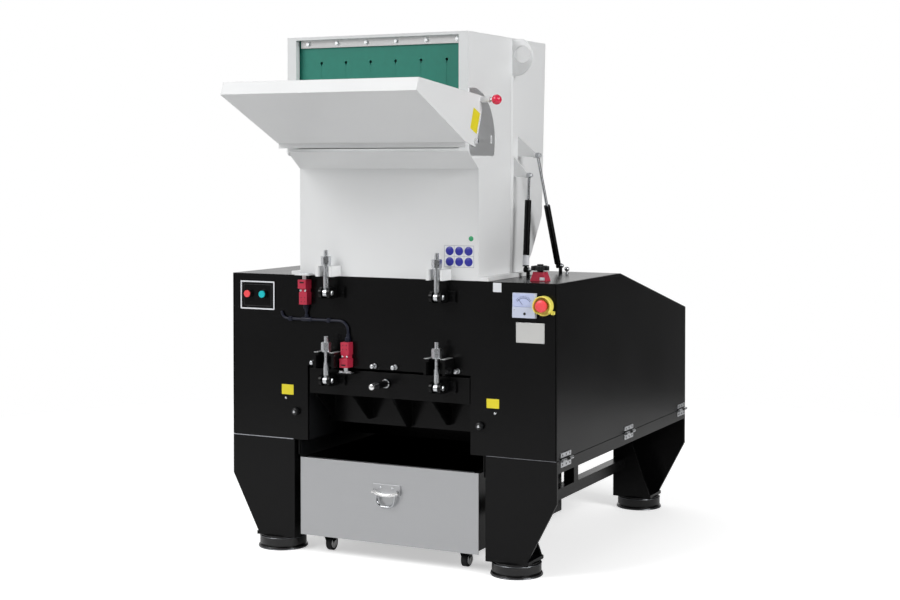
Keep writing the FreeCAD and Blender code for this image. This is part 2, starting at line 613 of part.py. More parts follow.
def bolt_lug(name, seat_z, width, low):
    """A forked lug that the bolt swings into, with a side plate under each prong."""
    half = width / 2
    front = S.bolt_y - S.nut_across / 2 - 3
    face = 0 * S.sheet
    plate = block(f"{name}_plate", (S.bolt_x - half, S.bolt_x + half), (front, face),
                  (seat_z - S.lug_plate, seat_z))
    sides = [block(f"{name}_{side}_side", (start, start + S.lug_plate), (front, face),
                   (low, seat_z - 1))
             for side, start in (("left", S.bolt_x - half),
                                 ("right", S.bolt_x + half - S.lug_plate))]
    slot = block(f"{name}_slot", (S.bolt_x - S.lug_slot / 2, S.bolt_x + S.lug_slot / 2),
                 (front - 1, S.bolt_y + S.lug_slot / 2 + 2), (low - 1, seat_z + 1))
    return cut(f"{name}_lug", fuse(f"{name}_lug_blank", plate, *sides), slot)


def bolts_and_lugs():
    """Four swing bolts: two clamp the hopper down, two hold the cradle up."""
    plate_face = 0 * S.sheet
    upper = swing_bolt("upper", S.upper_pin_z, S.upper_seat_z,
                       S.upper_seat_z - 2 * S.lug_plate)
    lower = swing_bolt("lower", S.lower_pin_z, S.lower_seat_z, S.sleeve_top)
    node("upper_right_swing_bolt", [upper])
    node("upper_left_swing_bolt", [mirror("upper_left_bolt", upper)])
    node("lower_right_swing_bolt", [lower])
    node("lower_left_swing_bolt", [mirror("lower_left_bolt", lower)])
    fixed = pair("upper_clevis", clevis("upper", S.upper_pin_z, plate_face))
    fixed += pair("lower_lug", bolt_lug("lower", S.lower_seat_z, S.lower_lug_width,
                                        S.notch_top + 3))
    node("front_plate_fittings", fixed)
    lugs = pair("upper_lug", bolt_lug("upper", S.upper_seat_z, S.upper_lug_width,
                                      S.base_top + 1.5))
    low = S.base_top + 1.5
    node("hopper_lugs", lugs + [key_bracket("upper", S.switch_x, plate_face,
                                            (low, low + S.key_sheet),
                                            (low - 11 + 0.5 * S.key_sheet, low + 1))])


def key_bracket(name, middle, face, heights, reach):
    """A bent strip that carries the key of a safety switch."""
    strip = block(f"{name}_key_strip", (middle - S.key_bracket / 2, middle + S.key_bracket / 2),
                  (face - S.head_depth, face), heights)
    key = block(f"{name}_key", (middle - S.key_width / 2, middle + S.key_width / 2),
                (face - S.head_depth / 2 - S.key_sheet, face - S.head_depth / 2), reach)
    return fuse(f"{name}_key_bracket", strip, key)


def cradle():
    """The screen cradle: a front bar with ribs and a deep sheet, hinged at its back."""
    half = S.notch_half - S.side_gap
    front = S.side_gap
    bar = block("cradle_bar", (-half, half), (front, front + S.bar_thick),
                (S.bar_bottom, S.bar_top))
    pieces = [bar]
    shelf_back = front + S.rib_depth + S.cradle_sheet
    pieces.append(block("cradle_shelf", (-half, half), (front, shelf_back),
                        (S.bar_bottom - S.cradle_sheet, S.bar_bottom)))
    pieces.append(block("cradle_rear_sheet", (-half, half),
                        (shelf_back - S.cradle_sheet, shelf_back),
                        (S.cradle_low, S.bar_bottom - S.cradle_sheet)))
    under = S.bar_bottom - S.cradle_sheet
    for i in range(round(float(S.rib_count))):
        place = S.rib_first + i * S.rib_pitch
        foot = S.long_rib_low if i == round(float(S.long_rib)) else S.rib_low
        back = front + S.rib_depth + 1
        pieces.append(prism(f"cradle_rib_{i}", "YZ", [
            (front, under), (back, under), (back, foot), (back - S.rib_foot, foot)],
            place, place + S.rib_sheet))
    arm = prism("cradle_arm", "YZ", [
        (shelf_back, S.cradle_low), (shelf_back, S.bar_bottom), (S.chamber_back, S.bar_bottom),
        (S.cradle_hinge_y, S.cradle_hinge_z + S.hinge_boss), (S.cradle_hinge_y, S.cradle_low)],
        half - 4 * S.rib_sheet, half - 3 * S.rib_sheet)
    tip = rod("cradle_arm_tip", "x", S.hinge_boss,
              (half - 4 * S.rib_sheet, S.cradle_hinge_y, S.cradle_hinge_z), S.rib_sheet)
    bore = rod("cradle_arm_bore", "x", S.hinge_pin + 0.3,
               (half - 5 * S.rib_sheet, S.cradle_hinge_y, S.cradle_hinge_z), 3 * S.rib_sheet)
    swing = cut("cradle_arm_bored", fuse("cradle_arm_blank", arm, tip), bore)
    pieces += pair("cradle_arm", swing)
    node("screen_cradle", [fuse("cradle_body", *pieces)])
    peg = rounded("peg_rod", rod("peg_blank", "y", S.peg_radius,
                                 (S.peg_x, front - S.peg_length, S.peg_z), S.peg_length), 6)
    base = rod("peg_base", "y", 1.35 * S.peg_radius, (S.peg_x, front - S.peg_radius, S.peg_z),
               S.peg_radius)
    clevises = pair("lower_clevis", clevis("lower", S.lower_pin_z, front))
    low = S.bar_top - 10
    key = key_bracket("lower", S.lower_switch_x, front, (low, low + S.key_sheet),
                      (low + 1, S.bar_top + 4))
    node("cradle_fittings", clevises + [key, fuse("peg_handle", peg, base)])
    eye_x = S.notch_half - S.side_gap - 2.5 * S.rib_sheet
    hanger = block("cradle_hanger", (eye_x, S.notch_half),
                   (S.cradle_hinge_y - S.hinge_boss, S.cradle_hinge_y + S.hinge_boss),
                   (S.cradle_hinge_z - S.hinge_boss, S.cradle_hinge_z + S.hinge_boss))
    pivot = rod("cradle_pivot", "x", S.hinge_pin,
                (half - 4.5 * S.rib_sheet, S.cradle_hinge_y, S.cradle_hinge_z),
                4 * S.rib_sheet)
    node("cradle_hinge_pins", pair("cradle_pin", fuse("cradle_pin", hanger, pivot)))


def side_fittings():
    """On each side of the hopper: a stiffening rib, two strut gussets and a lifting lug."""
    wall = S.hopper_half
    rib = prism("stiffening_fold", "XY", [
        (wall, S.rib_y - S.rib_half), (wall + S.rib_out, S.rib_y),
        (wall, S.rib_y + S.rib_half)], S.hopper_bottom, S.lug_low)
    pieces = [rib]
    for name, reach, place, top in (("near", S.near_x, S.near_top_y, S.near_top_z),
                                    ("far", S.far_x, S.far_top_y, S.far_top_z)):
        tip = reach - S.strut_eye_thick / 2 - S.strut_gap
        gusset = prism(f"{name}_gusset", "XZ", [
            (wall, top - S.strut_eye / 2), (wall, top + S.gusset_height),
            (tip, top + S.strut_eye), (tip, top - S.strut_eye / 2)],
            place - S.gusset / 2, place + S.gusset / 2)
        boss = rod(f"{name}_gusset_boss", "x", S.strut_eye, (tip - 8, place, top),
                   8 + 0 * S.sheet)
        pieces.append(fuse(f"{name}_strut_gusset", gusset, boss))
    low, high = float(S.lug_low), float(S.hopper_top - S.hopper_wall)
    inner, outer = float(wall), float(wall + S.lug_out)
    start, thick = float(S.rib_y), float(S.lug_thick)
    crown = Vector(outer, start, low + 0.58 * (high - low))
    curve = Part.Arc(Vector(inner, start, low), crown, Vector(inner + 0.5 * (outer - inner),
                                                             start, high))
    edges = [curve.toShape(),
             Part.makeLine(Vector(inner + 0.5 * (outer - inner), start, high),
                           Vector(inner, start, high)),
             Part.makeLine(Vector(inner, start, high), Vector(inner, start, low))]
    lug = Part.Face(Part.Wire(edges)).extrude(Vector(0, thick, 0))
    eye_at = Vector(inner + 0.5 * (outer - inner), start - 1, low + 0.58 * (high - low))
    lug = lug.cut(Part.makeCylinder(float(S.lug_hole), thick + 2, eye_at, Vector(0, 1, 0)))
    pieces.append(shaped("lifting_lug", lug))
    mirrored = [mirror(f"{p.Name}_left", p) for p in pieces]
    node("hopper_side_fittings", pieces + mirrored)


def strut(name, place_x, top, foot, inside):
    """A gas strut: a tube on its foot joint and a rod up to its gusset."""
    top_at = Vector(0, float(top[0]), float(top[1]))
    foot_at = Vector(0, float(foot[0]), float(foot[1]))
    along = (top_at - foot_at).normalize()
    at_x = Vector(float(place_x), 0, 0)
    half_eye = Vector(float(S.strut_eye_thick) / 2, 0, 0)
    eye, thick = float(S.strut_eye), float(S.strut_eye_thick)
    neck = eye + 1.5
    tube_end = neck + float(S.strut_tube)
    joint = Part.makeCylinder(float(S.strut_rod), neck + 1, at_x + foot_at, along)
    tube = Part.makeCylinder(float(S.strut_radius), tube_end - neck,
                             at_x + foot_at + along * neck, along)
    low_eye = Part.makeCylinder(eye, thick, at_x + foot_at - half_eye, Vector(1, 0, 0))
    bore_start = at_x + foot_at + along * (neck + 20)
    bore = Part.makeCylinder(float(S.strut_rod) + 0.3, tube_end, bore_start, along)
    hole = Part.makeCylinder(4.3, thick + 2, at_x + foot_at - half_eye - Vector(1, 0, 0),
                             Vector(1, 0, 0))
    cylinder = tube.fuse([low_eye, joint]).cut(hole).cut(bore)
    full = (top_at - foot_at).Length
    rod_start = neck + float(inside)
    stem = Part.makeCylinder(float(S.strut_rod), full - rod_start,
                             at_x + foot_at + along * rod_start, along)
    high_eye = Part.makeCylinder(eye, thick, at_x + top_at - half_eye, Vector(1, 0, 0))
    return shaped(f"{name}_strut_tube", cylinder), shaped(f"{name}_strut_rod",
                                                         stem.fuse(high_eye))


def struts():
    """Two struts a side: the near one lifts the hopper, the far one damps it."""
    feet = []
    for name, place_x, top, foot, inside in (
            ("lift", S.near_x, (S.near_top_y, S.near_top_z), (S.near_foot_y, S.near_foot_z),
             S.lift_rod_inside),
            ("damper", S.far_x, (S.far_top_y, S.far_top_z), (S.far_foot_y, S.far_foot_z),
             S.damper_rod_inside)):
        tube, stem = strut(name, place_x, top, foot, inside)
        node(f"{name}_strut_tubes", pair(f"{name}_tube", tube))
        node(f"{name}_strut_rods", pair(f"{name}_rod", stem))
        half = S.strut_eye_thick / 2
        start = place_x + half + S.strut_gap
        block_y = (foot[0] - S.strut_eye, foot[0] + S.strut_eye)
        post = block(f"{name}_foot_post", (start, start + S.gusset), block_y,
                     (S.base_top, foot[1]))
        cap = rod(f"{name}_foot_cap", "x", S.strut_eye, (start, *foot), S.gusset)
        stud = rod(f"{name}_foot_stud", "x", 4 + 0 * S.sheet, (place_x - half, *foot),
                   S.strut_eye_thick + S.strut_gap + 1)
        feet += pair(f"{name}_foot", fuse(f"{name}_foot", post, cap, stud))
    return feet


def tray_place(along, rise):
    """A place on the tray's floor: along the slope from the front edge, and above it."""
    return (S.tray_front_y + along * cosine(S.tray_slope) + rise * sine(S.tray_slope),
            S.tray_front_z - along * sine(S.tray_slope) + rise * cosine(S.tray_slope))


def feed_tray():
    """The folding feed tray: a sloping floor with a lip, side sheets and pivot bolts."""
    gauge = S.tray_sheet
    length = (S.tray_back_y - S.tray_front_y) / cosine(S.tray_slope)
    back = tray_place(length, 0 * gauge)
    floor = prism("tray_floor", "YZ", [
        tray_place(0 * gauge, 0 * gauge), back, (back[0], back[1] - S.tray_hem),
        (back[0] + gauge, back[1] - S.tray_hem), tray_place(length + 1.6 * gauge, gauge),
        tray_place(gauge, gauge), tray_place(gauge, S.tray_lip),
        tray_place(0 * gauge, S.tray_lip)],
        -S.hopper_half - S.tray_gap - S.quadrant, S.hopper_half + S.tray_gap + S.quadrant)
    inner = S.hopper_half + S.quadrant + S.tray_gap
    side = prism("tray_side_sheet", "YZ", [
        tray_place(0 * gauge, 0 * gauge), tray_place(0 * gauge, S.tray_lip),
        (S.tray_side_y, S.tray_side_z),
        (S.tray_side_y, S.tray_side_z - S.tray_side_edge),
        (S.tray_pivot_y + 3 * S.tray_bolt / 2, S.tray_pivot_z),
        (S.tray_pivot_y, S.tray_pivot_z - 2 * S.tray_bolt), tray_place(length, 0 * gauge)],
        inner, inner + gauge)
    bolt = rod("tray_bolt_head", "x", S.tray_bolt, (inner + gauge, S.tray_pivot_y,
                                                    S.tray_pivot_z), 6 + 0 * gauge)
    hole = rod("tray_bolt_hole", "x", S.tray_bolt / 2 + 0.3,
               (inner - 1, S.tray_pivot_y, S.tray_pivot_z), gauge + 1)
    plunger = plunger_place()
    housing = rod("plunger_housing", "x", S.plunger_boss, (inner + gauge, *plunger),
                  S.plunger_out)
    bore = rod("plunger_bore", "x", S.plunger_pin + 0.3, (inner - 1, *plunger),
               S.plunger_out + gauge + 2)
    right = cut("tray_side_right", fuse("tray_side_blank", side, bolt, housing), hole, bore)
    plain = cut("tray_side_plain", fuse("tray_side_left_blank", side, bolt), hole)
    node("feed_tray_floor", [floor])
    node("feed_tray_sides", [right, mirror("tray_side_left", plain)])
    pin_start = S.hopper_half + S.quadrant + S.strut_gap
    knob_x = inner + gauge + S.plunger_out + S.knob_radius + 6
    stem = rod("plunger_stem", "x", S.plunger_pin, (pin_start, *plunger), knob_x - pin_start)
    ball = doc.addObject("Part::Sphere", "plunger_ball")
    bind(ball, "Radius", S.knob_radius)
    for letter, formula in zip("xyz", (knob_x, *plunger)):
        bind(ball, f"Placement.Base.{letter}", formula)
    node("tray_plunger", [fuse("plunger", stem, ball)])


def plunger_place():
    """Where the plunger stands while the tray is open."""
    return (S.tray_pivot_y + S.plunger_radius * cosine(S.plunger_angle),
            S.tray_pivot_z + S.plunger_radius * sine(S.plunger_angle))


def quadrants():
    """The steel plates on the hopper's sides that the tray's plunger runs over."""
    pivot = Vector(float(S.hopper_half), float(S.tray_pivot_y), float(S.tray_pivot_z))
    radius, drop = float(S.quadrant_radius), float(S.quadrant_drop)
    back = -float(S.overhang) - pivot.y

    def at(across, up):
        return pivot + Vector(0, across, up)

    high = math.sqrt(radius ** 2 - back ** 2)
    far = math.sqrt(radius ** 2 - drop ** 2) * 0.995
    rim = Part.Arc(at(back, high), at(radius * 0.70, radius * 0.714), at(far, -drop * 0.6))
    corner, turn = float(S.quadrant_corner), 1 - math.sqrt(0.5)
    right_bend = Part.Arc(at(far, -drop * 0.6), at(far - 0.25 * corner, 0.1 * corner - drop),
                          at(far - corner, -drop))
    left_bend = Part.Arc(at(back + corner, -drop), at(back + turn * corner,
                                                      turn * corner - drop),
                         at(back, corner - drop))
    edges = [rim.toShape(), right_bend.toShape(),
             Part.makeLine(at(far - corner, -drop), at(back + corner, -drop)),
             left_bend.toShape(), Part.makeLine(at(back, corner - drop), at(back, high))]
    plate = Part.Face(Part.Wire(edges)).extrude(Vector(float(S.quadrant), 0, 0))
    pin, through = float(S.plunger_pin) + 0.5, float(S.quadrant) + 2
    reach, slot_half = float(S.plunger_radius), float(S.slot_half) - pin
    for turn, length in ((0, 0), (float(S.tray_close), slot_half)):
        angle = math.radians(float(S.plunger_angle) - turn)
        eye = at(reach * math.cos(angle), reach * math.sin(angle)) - Vector(1, 0, 0)
        low = eye - Vector(0, 0, 2 * length)
        for end in (eye, low):
            plate = plate.cut(Part.makeCylinder(pin, through, end, Vector(1, 0, 0)))
        if length:
            plate = plate.cut(Part.makeBox(through, 2 * pin, 2 * length,
                                           low - Vector(0, pin, 0)))
    stud = Part.makeCylinder(float(S.tray_bolt) / 2,
                             float(S.quadrant + S.tray_gap + S.tray_sheet) - 0.5,
                             pivot, Vector(1, 0, 0))
    node("quadrant_plates", pair("quadrant", shaped("quadrant", plate.fuse(stud))))


def curtain():
    """The slit rubber curtain behind the mouth and the strip that clamps it."""
    half = S.hopper_half - S.hopper_wall - 1
    top = S.mouth_top + 2
    face = S.mouth_return - S.overhang
    node("curtain_clamp_strip", [block("clamp_strip", (-S.mouth_half + 6, S.mouth_half - 6),
                                       (face, face + S.clamp_thick),
                                       (top - S.clamp_height, top))])
    cloth = (face + S.clamp_thick, face + S.clamp_thick + S.curtain_thick)
    band = block("curtain_band_sheet", (-half, half), cloth, (S.slit_top, top))
    flaps, holes, left = [], [], -half
    for i in range(round(float(S.slits)) + 1):
        slit = S.slit_first + i * S.slit_pitch
        last = i == round(float(S.slits))
        right = half if last else slit - S.slit_width / 2
        flaps.append(block(f"curtain_flap_{i}", (left, right), cloth,
                           (S.curtain_bottom, S.slit_top + 1)))
        left = slit + S.slit_width / 2
        if not last:
            holes.append(rod(f"slit_hole_{i}", "y", S.slit_hole,
                             (slit, cloth[0] - 1, S.slit_top), S.curtain_thick + 2))
    node("splash_curtain", [cut("curtain_cloth", fuse("curtain_sheet", band, *flaps), *holes)])


def controls():
    """Buttons left and right on the cabinet's front, a meter and the hopper lock."""
    face = 0 * S.sheet
    plate = block("panel_plate", (S.panel_left, S.panel_right), (-S.panel_depth, face),
                  (S.panel_low, S.panel_high))
    collars = []
    for name, place in (("stop_button", S.stop_x), ("start_button", S.start_x)):
        ring = rod(f"{name}_ring", "y", S.button_radius + 2,
                   (place, -S.panel_depth - S.ring_depth, S.button_z), S.ring_depth)
        well = rod(f"{name}_well", "y", S.button_radius - 2,
                   (place, -S.panel_depth - S.ring_depth - 1, S.button_z), S.ring_depth + 1)
        collars.append(cut(f"{name}_collar", ring, well))
        front = -S.panel_depth - S.press - 0.5 - S.button_depth
        cap = rod(f"{name}_cap", "y", S.button_radius - 2.5, (place, front, S.button_z),
                  S.button_depth)
        node(name, [rounded(f"{name}_round_cap", cap, 1.5)])
    node("panel_meter", [block("meter_case", (S.meter_left, S.meter_left + S.meter_size),
                               (-S.meter_depth, face), (S.meter_low, S.meter_low + S.meter_size))])
    at = (S.estop_x, S.estop_z)
    sleeve = rod("estop_sleeve", "y", 1.3 * S.estop_neck, (at[0], -S.ring_depth, at[1]),
                 S.ring_depth)
    well = rod("estop_well", "y", S.estop_neck + 0.4, (at[0], -S.ring_depth - 1, at[1]),
               S.ring_depth + 1)
    collars.append(cut("estop_collar", sleeve, well))
    node("control_panel", [plate] + collars)
    neck = rod("estop_stem", "y", S.estop_neck, (at[0], face - S.estop_depth, at[1]),
               S.estop_depth - S.press - 0.5)
    head = rod("estop_head", "y", S.estop_radius, (at[0], face - S.estop_depth - 12, at[1]),
               12 + face)
    node("emergency_stop", [fuse("estop_button", neck, rounded("estop_mushroom", head, 5))])
    lock = prism("lock_body", "XZ", [
        (S.lock_x - S.lock_width / 2, S.base_top), (S.lock_x - S.lock_top / 2,
                                                    S.base_top + S.lock_height),
        (S.lock_x + S.lock_top / 2, S.base_top + S.lock_height),
        (S.lock_x + S.lock_width / 2, S.base_top)],
        S.lock_y - S.lock_depth / 2, S.lock_y + S.lock_depth / 2)
    node("lock_block", [lock])
    base = S.base_top + S.lock_height + 0.3
    body = S.star_radius - S.star_lobe
    neck = rod("star_knob_neck", "z", S.star_radius / 3, (S.lock_x, S.lock_y, base),
               5 + S.star_height + 4)
    parts = [neck, rod("star_knob_disc", "z", body, (S.lock_x, S.lock_y, base + 4),
                       S.star_height)]
    lobes = round(float(S.star_lobes))
    for i in range(lobes):
        angle = i * 360 / lobes
        parts.append(rounded(f"star_knob_lobe_{i}", rod(
            f"star_knob_lobe_blank_{i}", "z", S.star_lobe,
            (S.lock_x + body * cosine(angle), S.lock_y + body * sine(angle), base + 4),
            S.star_height), 3))
    node("lock_star_knob", [fuse("star_knob", *parts)])


def switch(name, place, end, sign):
    """A key switch: body, neck and head, away from the end where its cable enters."""
    half = S.switch_width / 2
    pieces, start = [], end
    for part, length, inset, depth in (("body", S.switch_body, 0 * half, S.switch_depth),
                                       ("neck", S.switch_neck, 3 + 0 * half, S.switch_depth),
                                       ("head", S.switch_head, 0 * half, S.head_depth)):
        stop = start + sign * length
        low, high = (start, stop) if sign > 0 else (stop, start)
        pieces.append(block(f"{name}_switch_{part}", (place - half + inset, place + half - inset),
                            (0 * half - depth, 0 * half), (low, high)))
        start = stop
    return fuse(f"{name}_switch", *pieces)


def switches():
    """Two wired safety switches and the clipped cable along the front plate."""
    node("safety_switches", [switch("upper", S.switch_x, S.switch_end, 1),
                             switch("lower", S.lower_switch_x, S.lower_switch_end, -1)])
    radius, bend = float(S.cable_radius), float(S.cable_bend)
    curl = 0.75 * bend
    level, deep = float(S.cable_z), -float(S.cable_radius) - 1.5
    left, right = float(S.cable_left), float(S.lower_switch_x)
    upper, drop = float(S.switch_x), float(S.lower_switch_end)

    def straight(across, up, direction, length):
        return Part.makeCylinder(radius, length, Vector(across, deep, up), direction)

    def arc(across, up, size, first, sweep):
        ring = Part.makeTorus(size, radius, Vector(), Vector(0, 0, 1), -180, 180, sweep)
        ring.rotate(Vector(), Vector(0, 0, 1), first)
        ring.rotate(Vector(), Vector(1, 0, 0), 90)
        ring.translate(Vector(across, deep, up))
        return ring

    sweep = 80
    end_x = left - curl * math.sin(math.radians(sweep))
    end_z = level + curl * (1 - math.cos(math.radians(sweep)))
    cord = straight(left, level, Vector(1, 0, 0), right - bend - left).fuse([
        arc(left, level + curl, curl, -90 - sweep, sweep),
        arc(right - bend, level - bend, bend, 0, 90),
        straight(right, drop, Vector(0, 0, 1), level - bend - drop),
        straight(upper, level, Vector(0, 0, 1), float(S.switch_end) - level),
        Part.makeSphere(radius, Vector(end_x, deep, end_z)),
        straight(end_x, end_z, Vector(0, 1, 0), -deep)])
    gland, height = float(S.gland_radius), float(S.gland_height)
    glands = []
    for place, end, side in ((upper, float(S.switch_end), -1), (right, drop, 1)):
        centre = Vector(place, -gland - 0.5, end)
        glands.append(Part.makeCylinder(gland, height, centre, Vector(0, 0, side)))
    width = float(S.clip_width)
    clips = [Part.makeBox(width, 2 * radius + 3.5, 2 * radius + 5,
                          Vector(place - width / 2, -2 * radius - 3.5, level - radius - 2.5))
             for place in (left + width, float(S.clip_right))]
    node("switch_cable", [shaped("cable", cord.fuse(glands + clips))])


def caster(name, place_y):
    """A bin caster: the fork with its top plate, and the wheel on its axle."""
    at_x, axle_y = S.wheel_x, place_y + S.trail
    top = S.bin_low - 0.3
    half = S.wheel_width / 2 + 2
    plate = rod(f"{name}_fork_top", "z", S.wheel_radius, (at_x, place_y, top - S.fork_sheet),
                S.fork_sheet)
    pieces = [plate]
    for side, start in (("left", at_x - half - S.fork_sheet), ("right", at_x + half)):
        leg = prism(f"{name}_fork_{side}", "YZ", [
            (place_y - S.wheel_radius / 2, top - S.fork_sheet / 2),
            (place_y + S.wheel_radius / 2, top - S.fork_sheet / 2),
            (axle_y + 2 * S.axle_radius, S.wheel_radius),
            (axle_y, S.wheel_radius - 2 * S.axle_radius),
            (axle_y - 2 * S.axle_radius, S.wheel_radius)], start, start + S.fork_sheet)
        pieces.append(leg)
    pieces.append(rod(f"{name}_axle", "x", S.axle_radius,
                      (at_x - half - S.fork_sheet, axle_y, S.wheel_radius),
                      2 * half + 2 * S.fork_sheet))
    tyre = rounded(f"{name}_tyre", rod(
        f"{name}_tyre_blank", "x", S.wheel_radius,
        (at_x - S.wheel_width / 2, axle_y, S.wheel_radius), S.wheel_width), S.tyre_round)
    bore = rod(f"{name}_wheel_bore", "x", S.axle_radius + 0.3,
               (at_x - S.wheel_width / 2 - 1, axle_y, S.wheel_radius), S.wheel_width + 2)
    return fuse(f"{name}_fork", *pieces), cut(f"{name}_wheel", tyre, bore)


def collecting_bin():
    """The wheeled bin under the cradle, with a bright front and a drop handle."""
    front_y = S.bin_setback
    half, back = S.bin_body_half, S.bin_depth
    gauge = S.bin_sheet
    outer = block("bin_outer", (-half, half), (front_y, back), (S.bin_low, S.bin_high))
    hollow = block("bin_hollow", (gauge - half, half - gauge),
                   (front_y + gauge, back - gauge), (S.bin_low + gauge, S.bin_high + 1))
    rim = block("bin_rim_plate", (-half - S.bin_rim, half + S.bin_rim), (front_y, back),
                (S.bin_high - gauge, S.bin_high))
    node("bin_body", [cut("bin_shell", fuse("bin_blank", outer, rim), hollow)])
    front = block("bin_front_plate", (-S.bin_half, S.bin_half), (0 * gauge, S.bin_front),
                  (S.bin_low, S.bin_high))
    returns = block("bin_front_return", (-half, half), (S.bin_front, front_y),
                    (S.bin_high - gauge, S.bin_high))
    foot = block("bin_front_foot", (-half, half), (S.bin_front, front_y),
                 (S.bin_low, S.bin_low + gauge))
    grip = block("grip_plate", (-S.grip_half, S.grip_half), (-S.grip_depth, 0 * gauge),
                 (S.grip_low, S.grip_high))
    ears = []
    for side, sign in (("left", -1), ("right", 1)):
        start = sign * S.bail_half - 4
        ears.append(block(f"grip_ear_{side}", (start, start + 8), (-16 - S.grip_depth,
                                                                    -S.grip_depth),
                          (S.bail_z - 8, S.bail_z + 8)))
    bail_y = -S.grip_depth - 9
    pin_bores = rod("bail_bores", "x", S.bail_radius + 0.4,
                    (-S.grip_half - 8, bail_y, S.bail_z), 2 * S.grip_half + 16)
    node("bin_front", [cut("bin_front_panel", fuse("bin_front_blank", front, returns, foot,
                                                   grip, *ears), pin_bores)])
    reach, radius = float(S.bail_half) - 10, float(S.bail_radius)
    hang, y_at, z_at = float(S.bail_drop), float(bail_y), float(S.bail_z)
    bar = Part.makeCylinder(radius, 2 * reach, Vector(-reach, y_at, z_at - hang),
                            Vector(1, 0, 0))
    for sign in (-1, 1):
        leg = Part.makeCylinder(radius, hang, Vector(sign * reach, y_at, z_at - hang),
                                Vector(0, 0, 1))
        ball = Part.makeSphere(radius, Vector(sign * reach, y_at, z_at - hang))
        elbow = Part.makeSphere(radius, Vector(sign * reach, y_at, z_at))
        stub = Part.makeCylinder(radius, 13, Vector(sign * reach, y_at, z_at),
                                 Vector(sign, 0, 0))
        bar = bar.fuse([leg, ball, elbow, stub])
    node("bin_drop_handle", [shaped("bail", bar.removeSplitter())])
    fork, wheel = caster("front", S.wheel_front_y)
    node("right_caster_fork", [fork])
    node("left_caster_fork", [mirror("left_fork", fork)])
    node("right_caster_wheel", [wheel])
    node("left_caster_wheel", [mirror("left_wheel", wheel)])
    fork, wheel = caster("rear", S.wheel_rear_y)
    node("rear_caster_forks", pair("rear_fork", fork))
    node("rear_caster_wheels", pair("rear_wheel", wheel))


chamber()
rotor()
side_housings()
side_doors()
floor_frame()
hopper()
hinge_ears = hopper_hinge()
bolts_and_lugs()
cradle()
side_fittings()
strut_feet = struts()
node("deck_brackets", hinge_ears + strut_feet)
feed_tray()
quadrants()
curtain()
controls()
switches()
collecting_bin()
doc.recompute()

faults = [f"{o.Name}: {o.State}" for o in doc.Objects if {"Invalid", "Error"} & set(o.State)]
for piece in nodes:
    if piece.Shape.isNull() or not piece.Shape.isValid() or not piece.Shape.Solids:
        faults.append(f"{piece.Label}: no valid solid")
if faults:
    raise RuntimeError("\n".join(faults))

for piece in nodes:
    piece.Shape.exportStep(f"parts/{piece.Label}.step")
    volume = sum(solid.Volume for solid in piece.Shape.Solids)
    print(f"{piece.Label}: {len(piece.Shape.Solids)} solids, {volume / 1e6:.2f} litres")
print(f"{len(nodes)} pieces, middle at Y = {float(MIDDLE_Y)}")
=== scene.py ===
# %% [markdown]
# # A plastic granulator, dressed for its portrait
# The solids of this machine come ready made: cabinet, hopper, tray, bin and every moving piece.
# This lesson gives them their finishes, adds the small turned and pressed pieces that a solid
# model leaves plain, and sets up the light and the camera. Everything is in metres. X runs to
# the right, Y to the back and Z up, and the floor is at Z = 0.

# %% Load the frame
import math

import bmesh
import bpy
import numpy as np
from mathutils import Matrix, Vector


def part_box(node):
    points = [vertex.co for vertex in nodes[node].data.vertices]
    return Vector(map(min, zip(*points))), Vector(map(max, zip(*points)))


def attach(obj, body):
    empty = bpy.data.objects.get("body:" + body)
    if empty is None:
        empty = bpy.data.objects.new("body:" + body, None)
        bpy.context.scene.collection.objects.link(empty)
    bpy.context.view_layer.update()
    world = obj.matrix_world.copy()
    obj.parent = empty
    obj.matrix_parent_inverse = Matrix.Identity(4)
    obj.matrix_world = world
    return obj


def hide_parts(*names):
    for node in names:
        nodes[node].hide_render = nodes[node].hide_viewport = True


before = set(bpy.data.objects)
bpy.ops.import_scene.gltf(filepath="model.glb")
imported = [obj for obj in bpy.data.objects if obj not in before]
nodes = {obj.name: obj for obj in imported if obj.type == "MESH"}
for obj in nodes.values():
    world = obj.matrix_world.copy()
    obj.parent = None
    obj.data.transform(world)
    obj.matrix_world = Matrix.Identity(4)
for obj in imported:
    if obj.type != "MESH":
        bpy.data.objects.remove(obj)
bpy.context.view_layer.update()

# %% [markdown]
# ## Measuring in the machine's own terms
# The solids' boxes give the cabinet's front face. The rest is written in millimetres from three
# planes that a fitter would use: the middle of the machine, that front face and the floor.

# %% Places in millimetres
CABINET_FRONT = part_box("chamber_front_plate")[0][1]
MM = 0.001


def place(x, y, z):
    """A place given in mm: right of the middle, behind the cabinet's front, above the floor."""
    return np.array([x * MM, CABINET_FRONT + y * MM, z * MM])


# %% [markdown]
# ## The camera
# The camera stands where the photographer's did, a little above the deck and to the right. Its
# lens is long, and a short downward shift keeps the machine's uprights upright in the picture.

# %% Camera
PHOTO_WIDTH = 900
FOCAL_PIXELS = 1607.12
SHIFT_PIXELS = -93.52
SENSOR_MM = 36
CAMERA_PLACE = (2587.5, -4715.1, 1336.2)
CAMERA_TURN = 0.4626
CAMERA_TILT = -0.0256
camera_data = bpy.data.cameras.new("photo_camera")
camera = bpy.data.objects.new("photo_camera", camera_data)
bpy.context.scene.collection.objects.link(camera)
camera_data.sensor_width = SENSOR_MM
camera_data.lens = FOCAL_PIXELS / PHOTO_WIDTH * SENSOR_MM
camera_data.shift_y = SHIFT_PIXELS / PHOTO_WIDTH
camera.location = place(*CAMERA_PLACE)
camera.rotation_euler = (math.pi / 2 + CAMERA_TILT, 0, CAMERA_TURN)
bpy.context.scene.camera = camera
print("camera lens", round(camera_data.lens, 1), "mm")

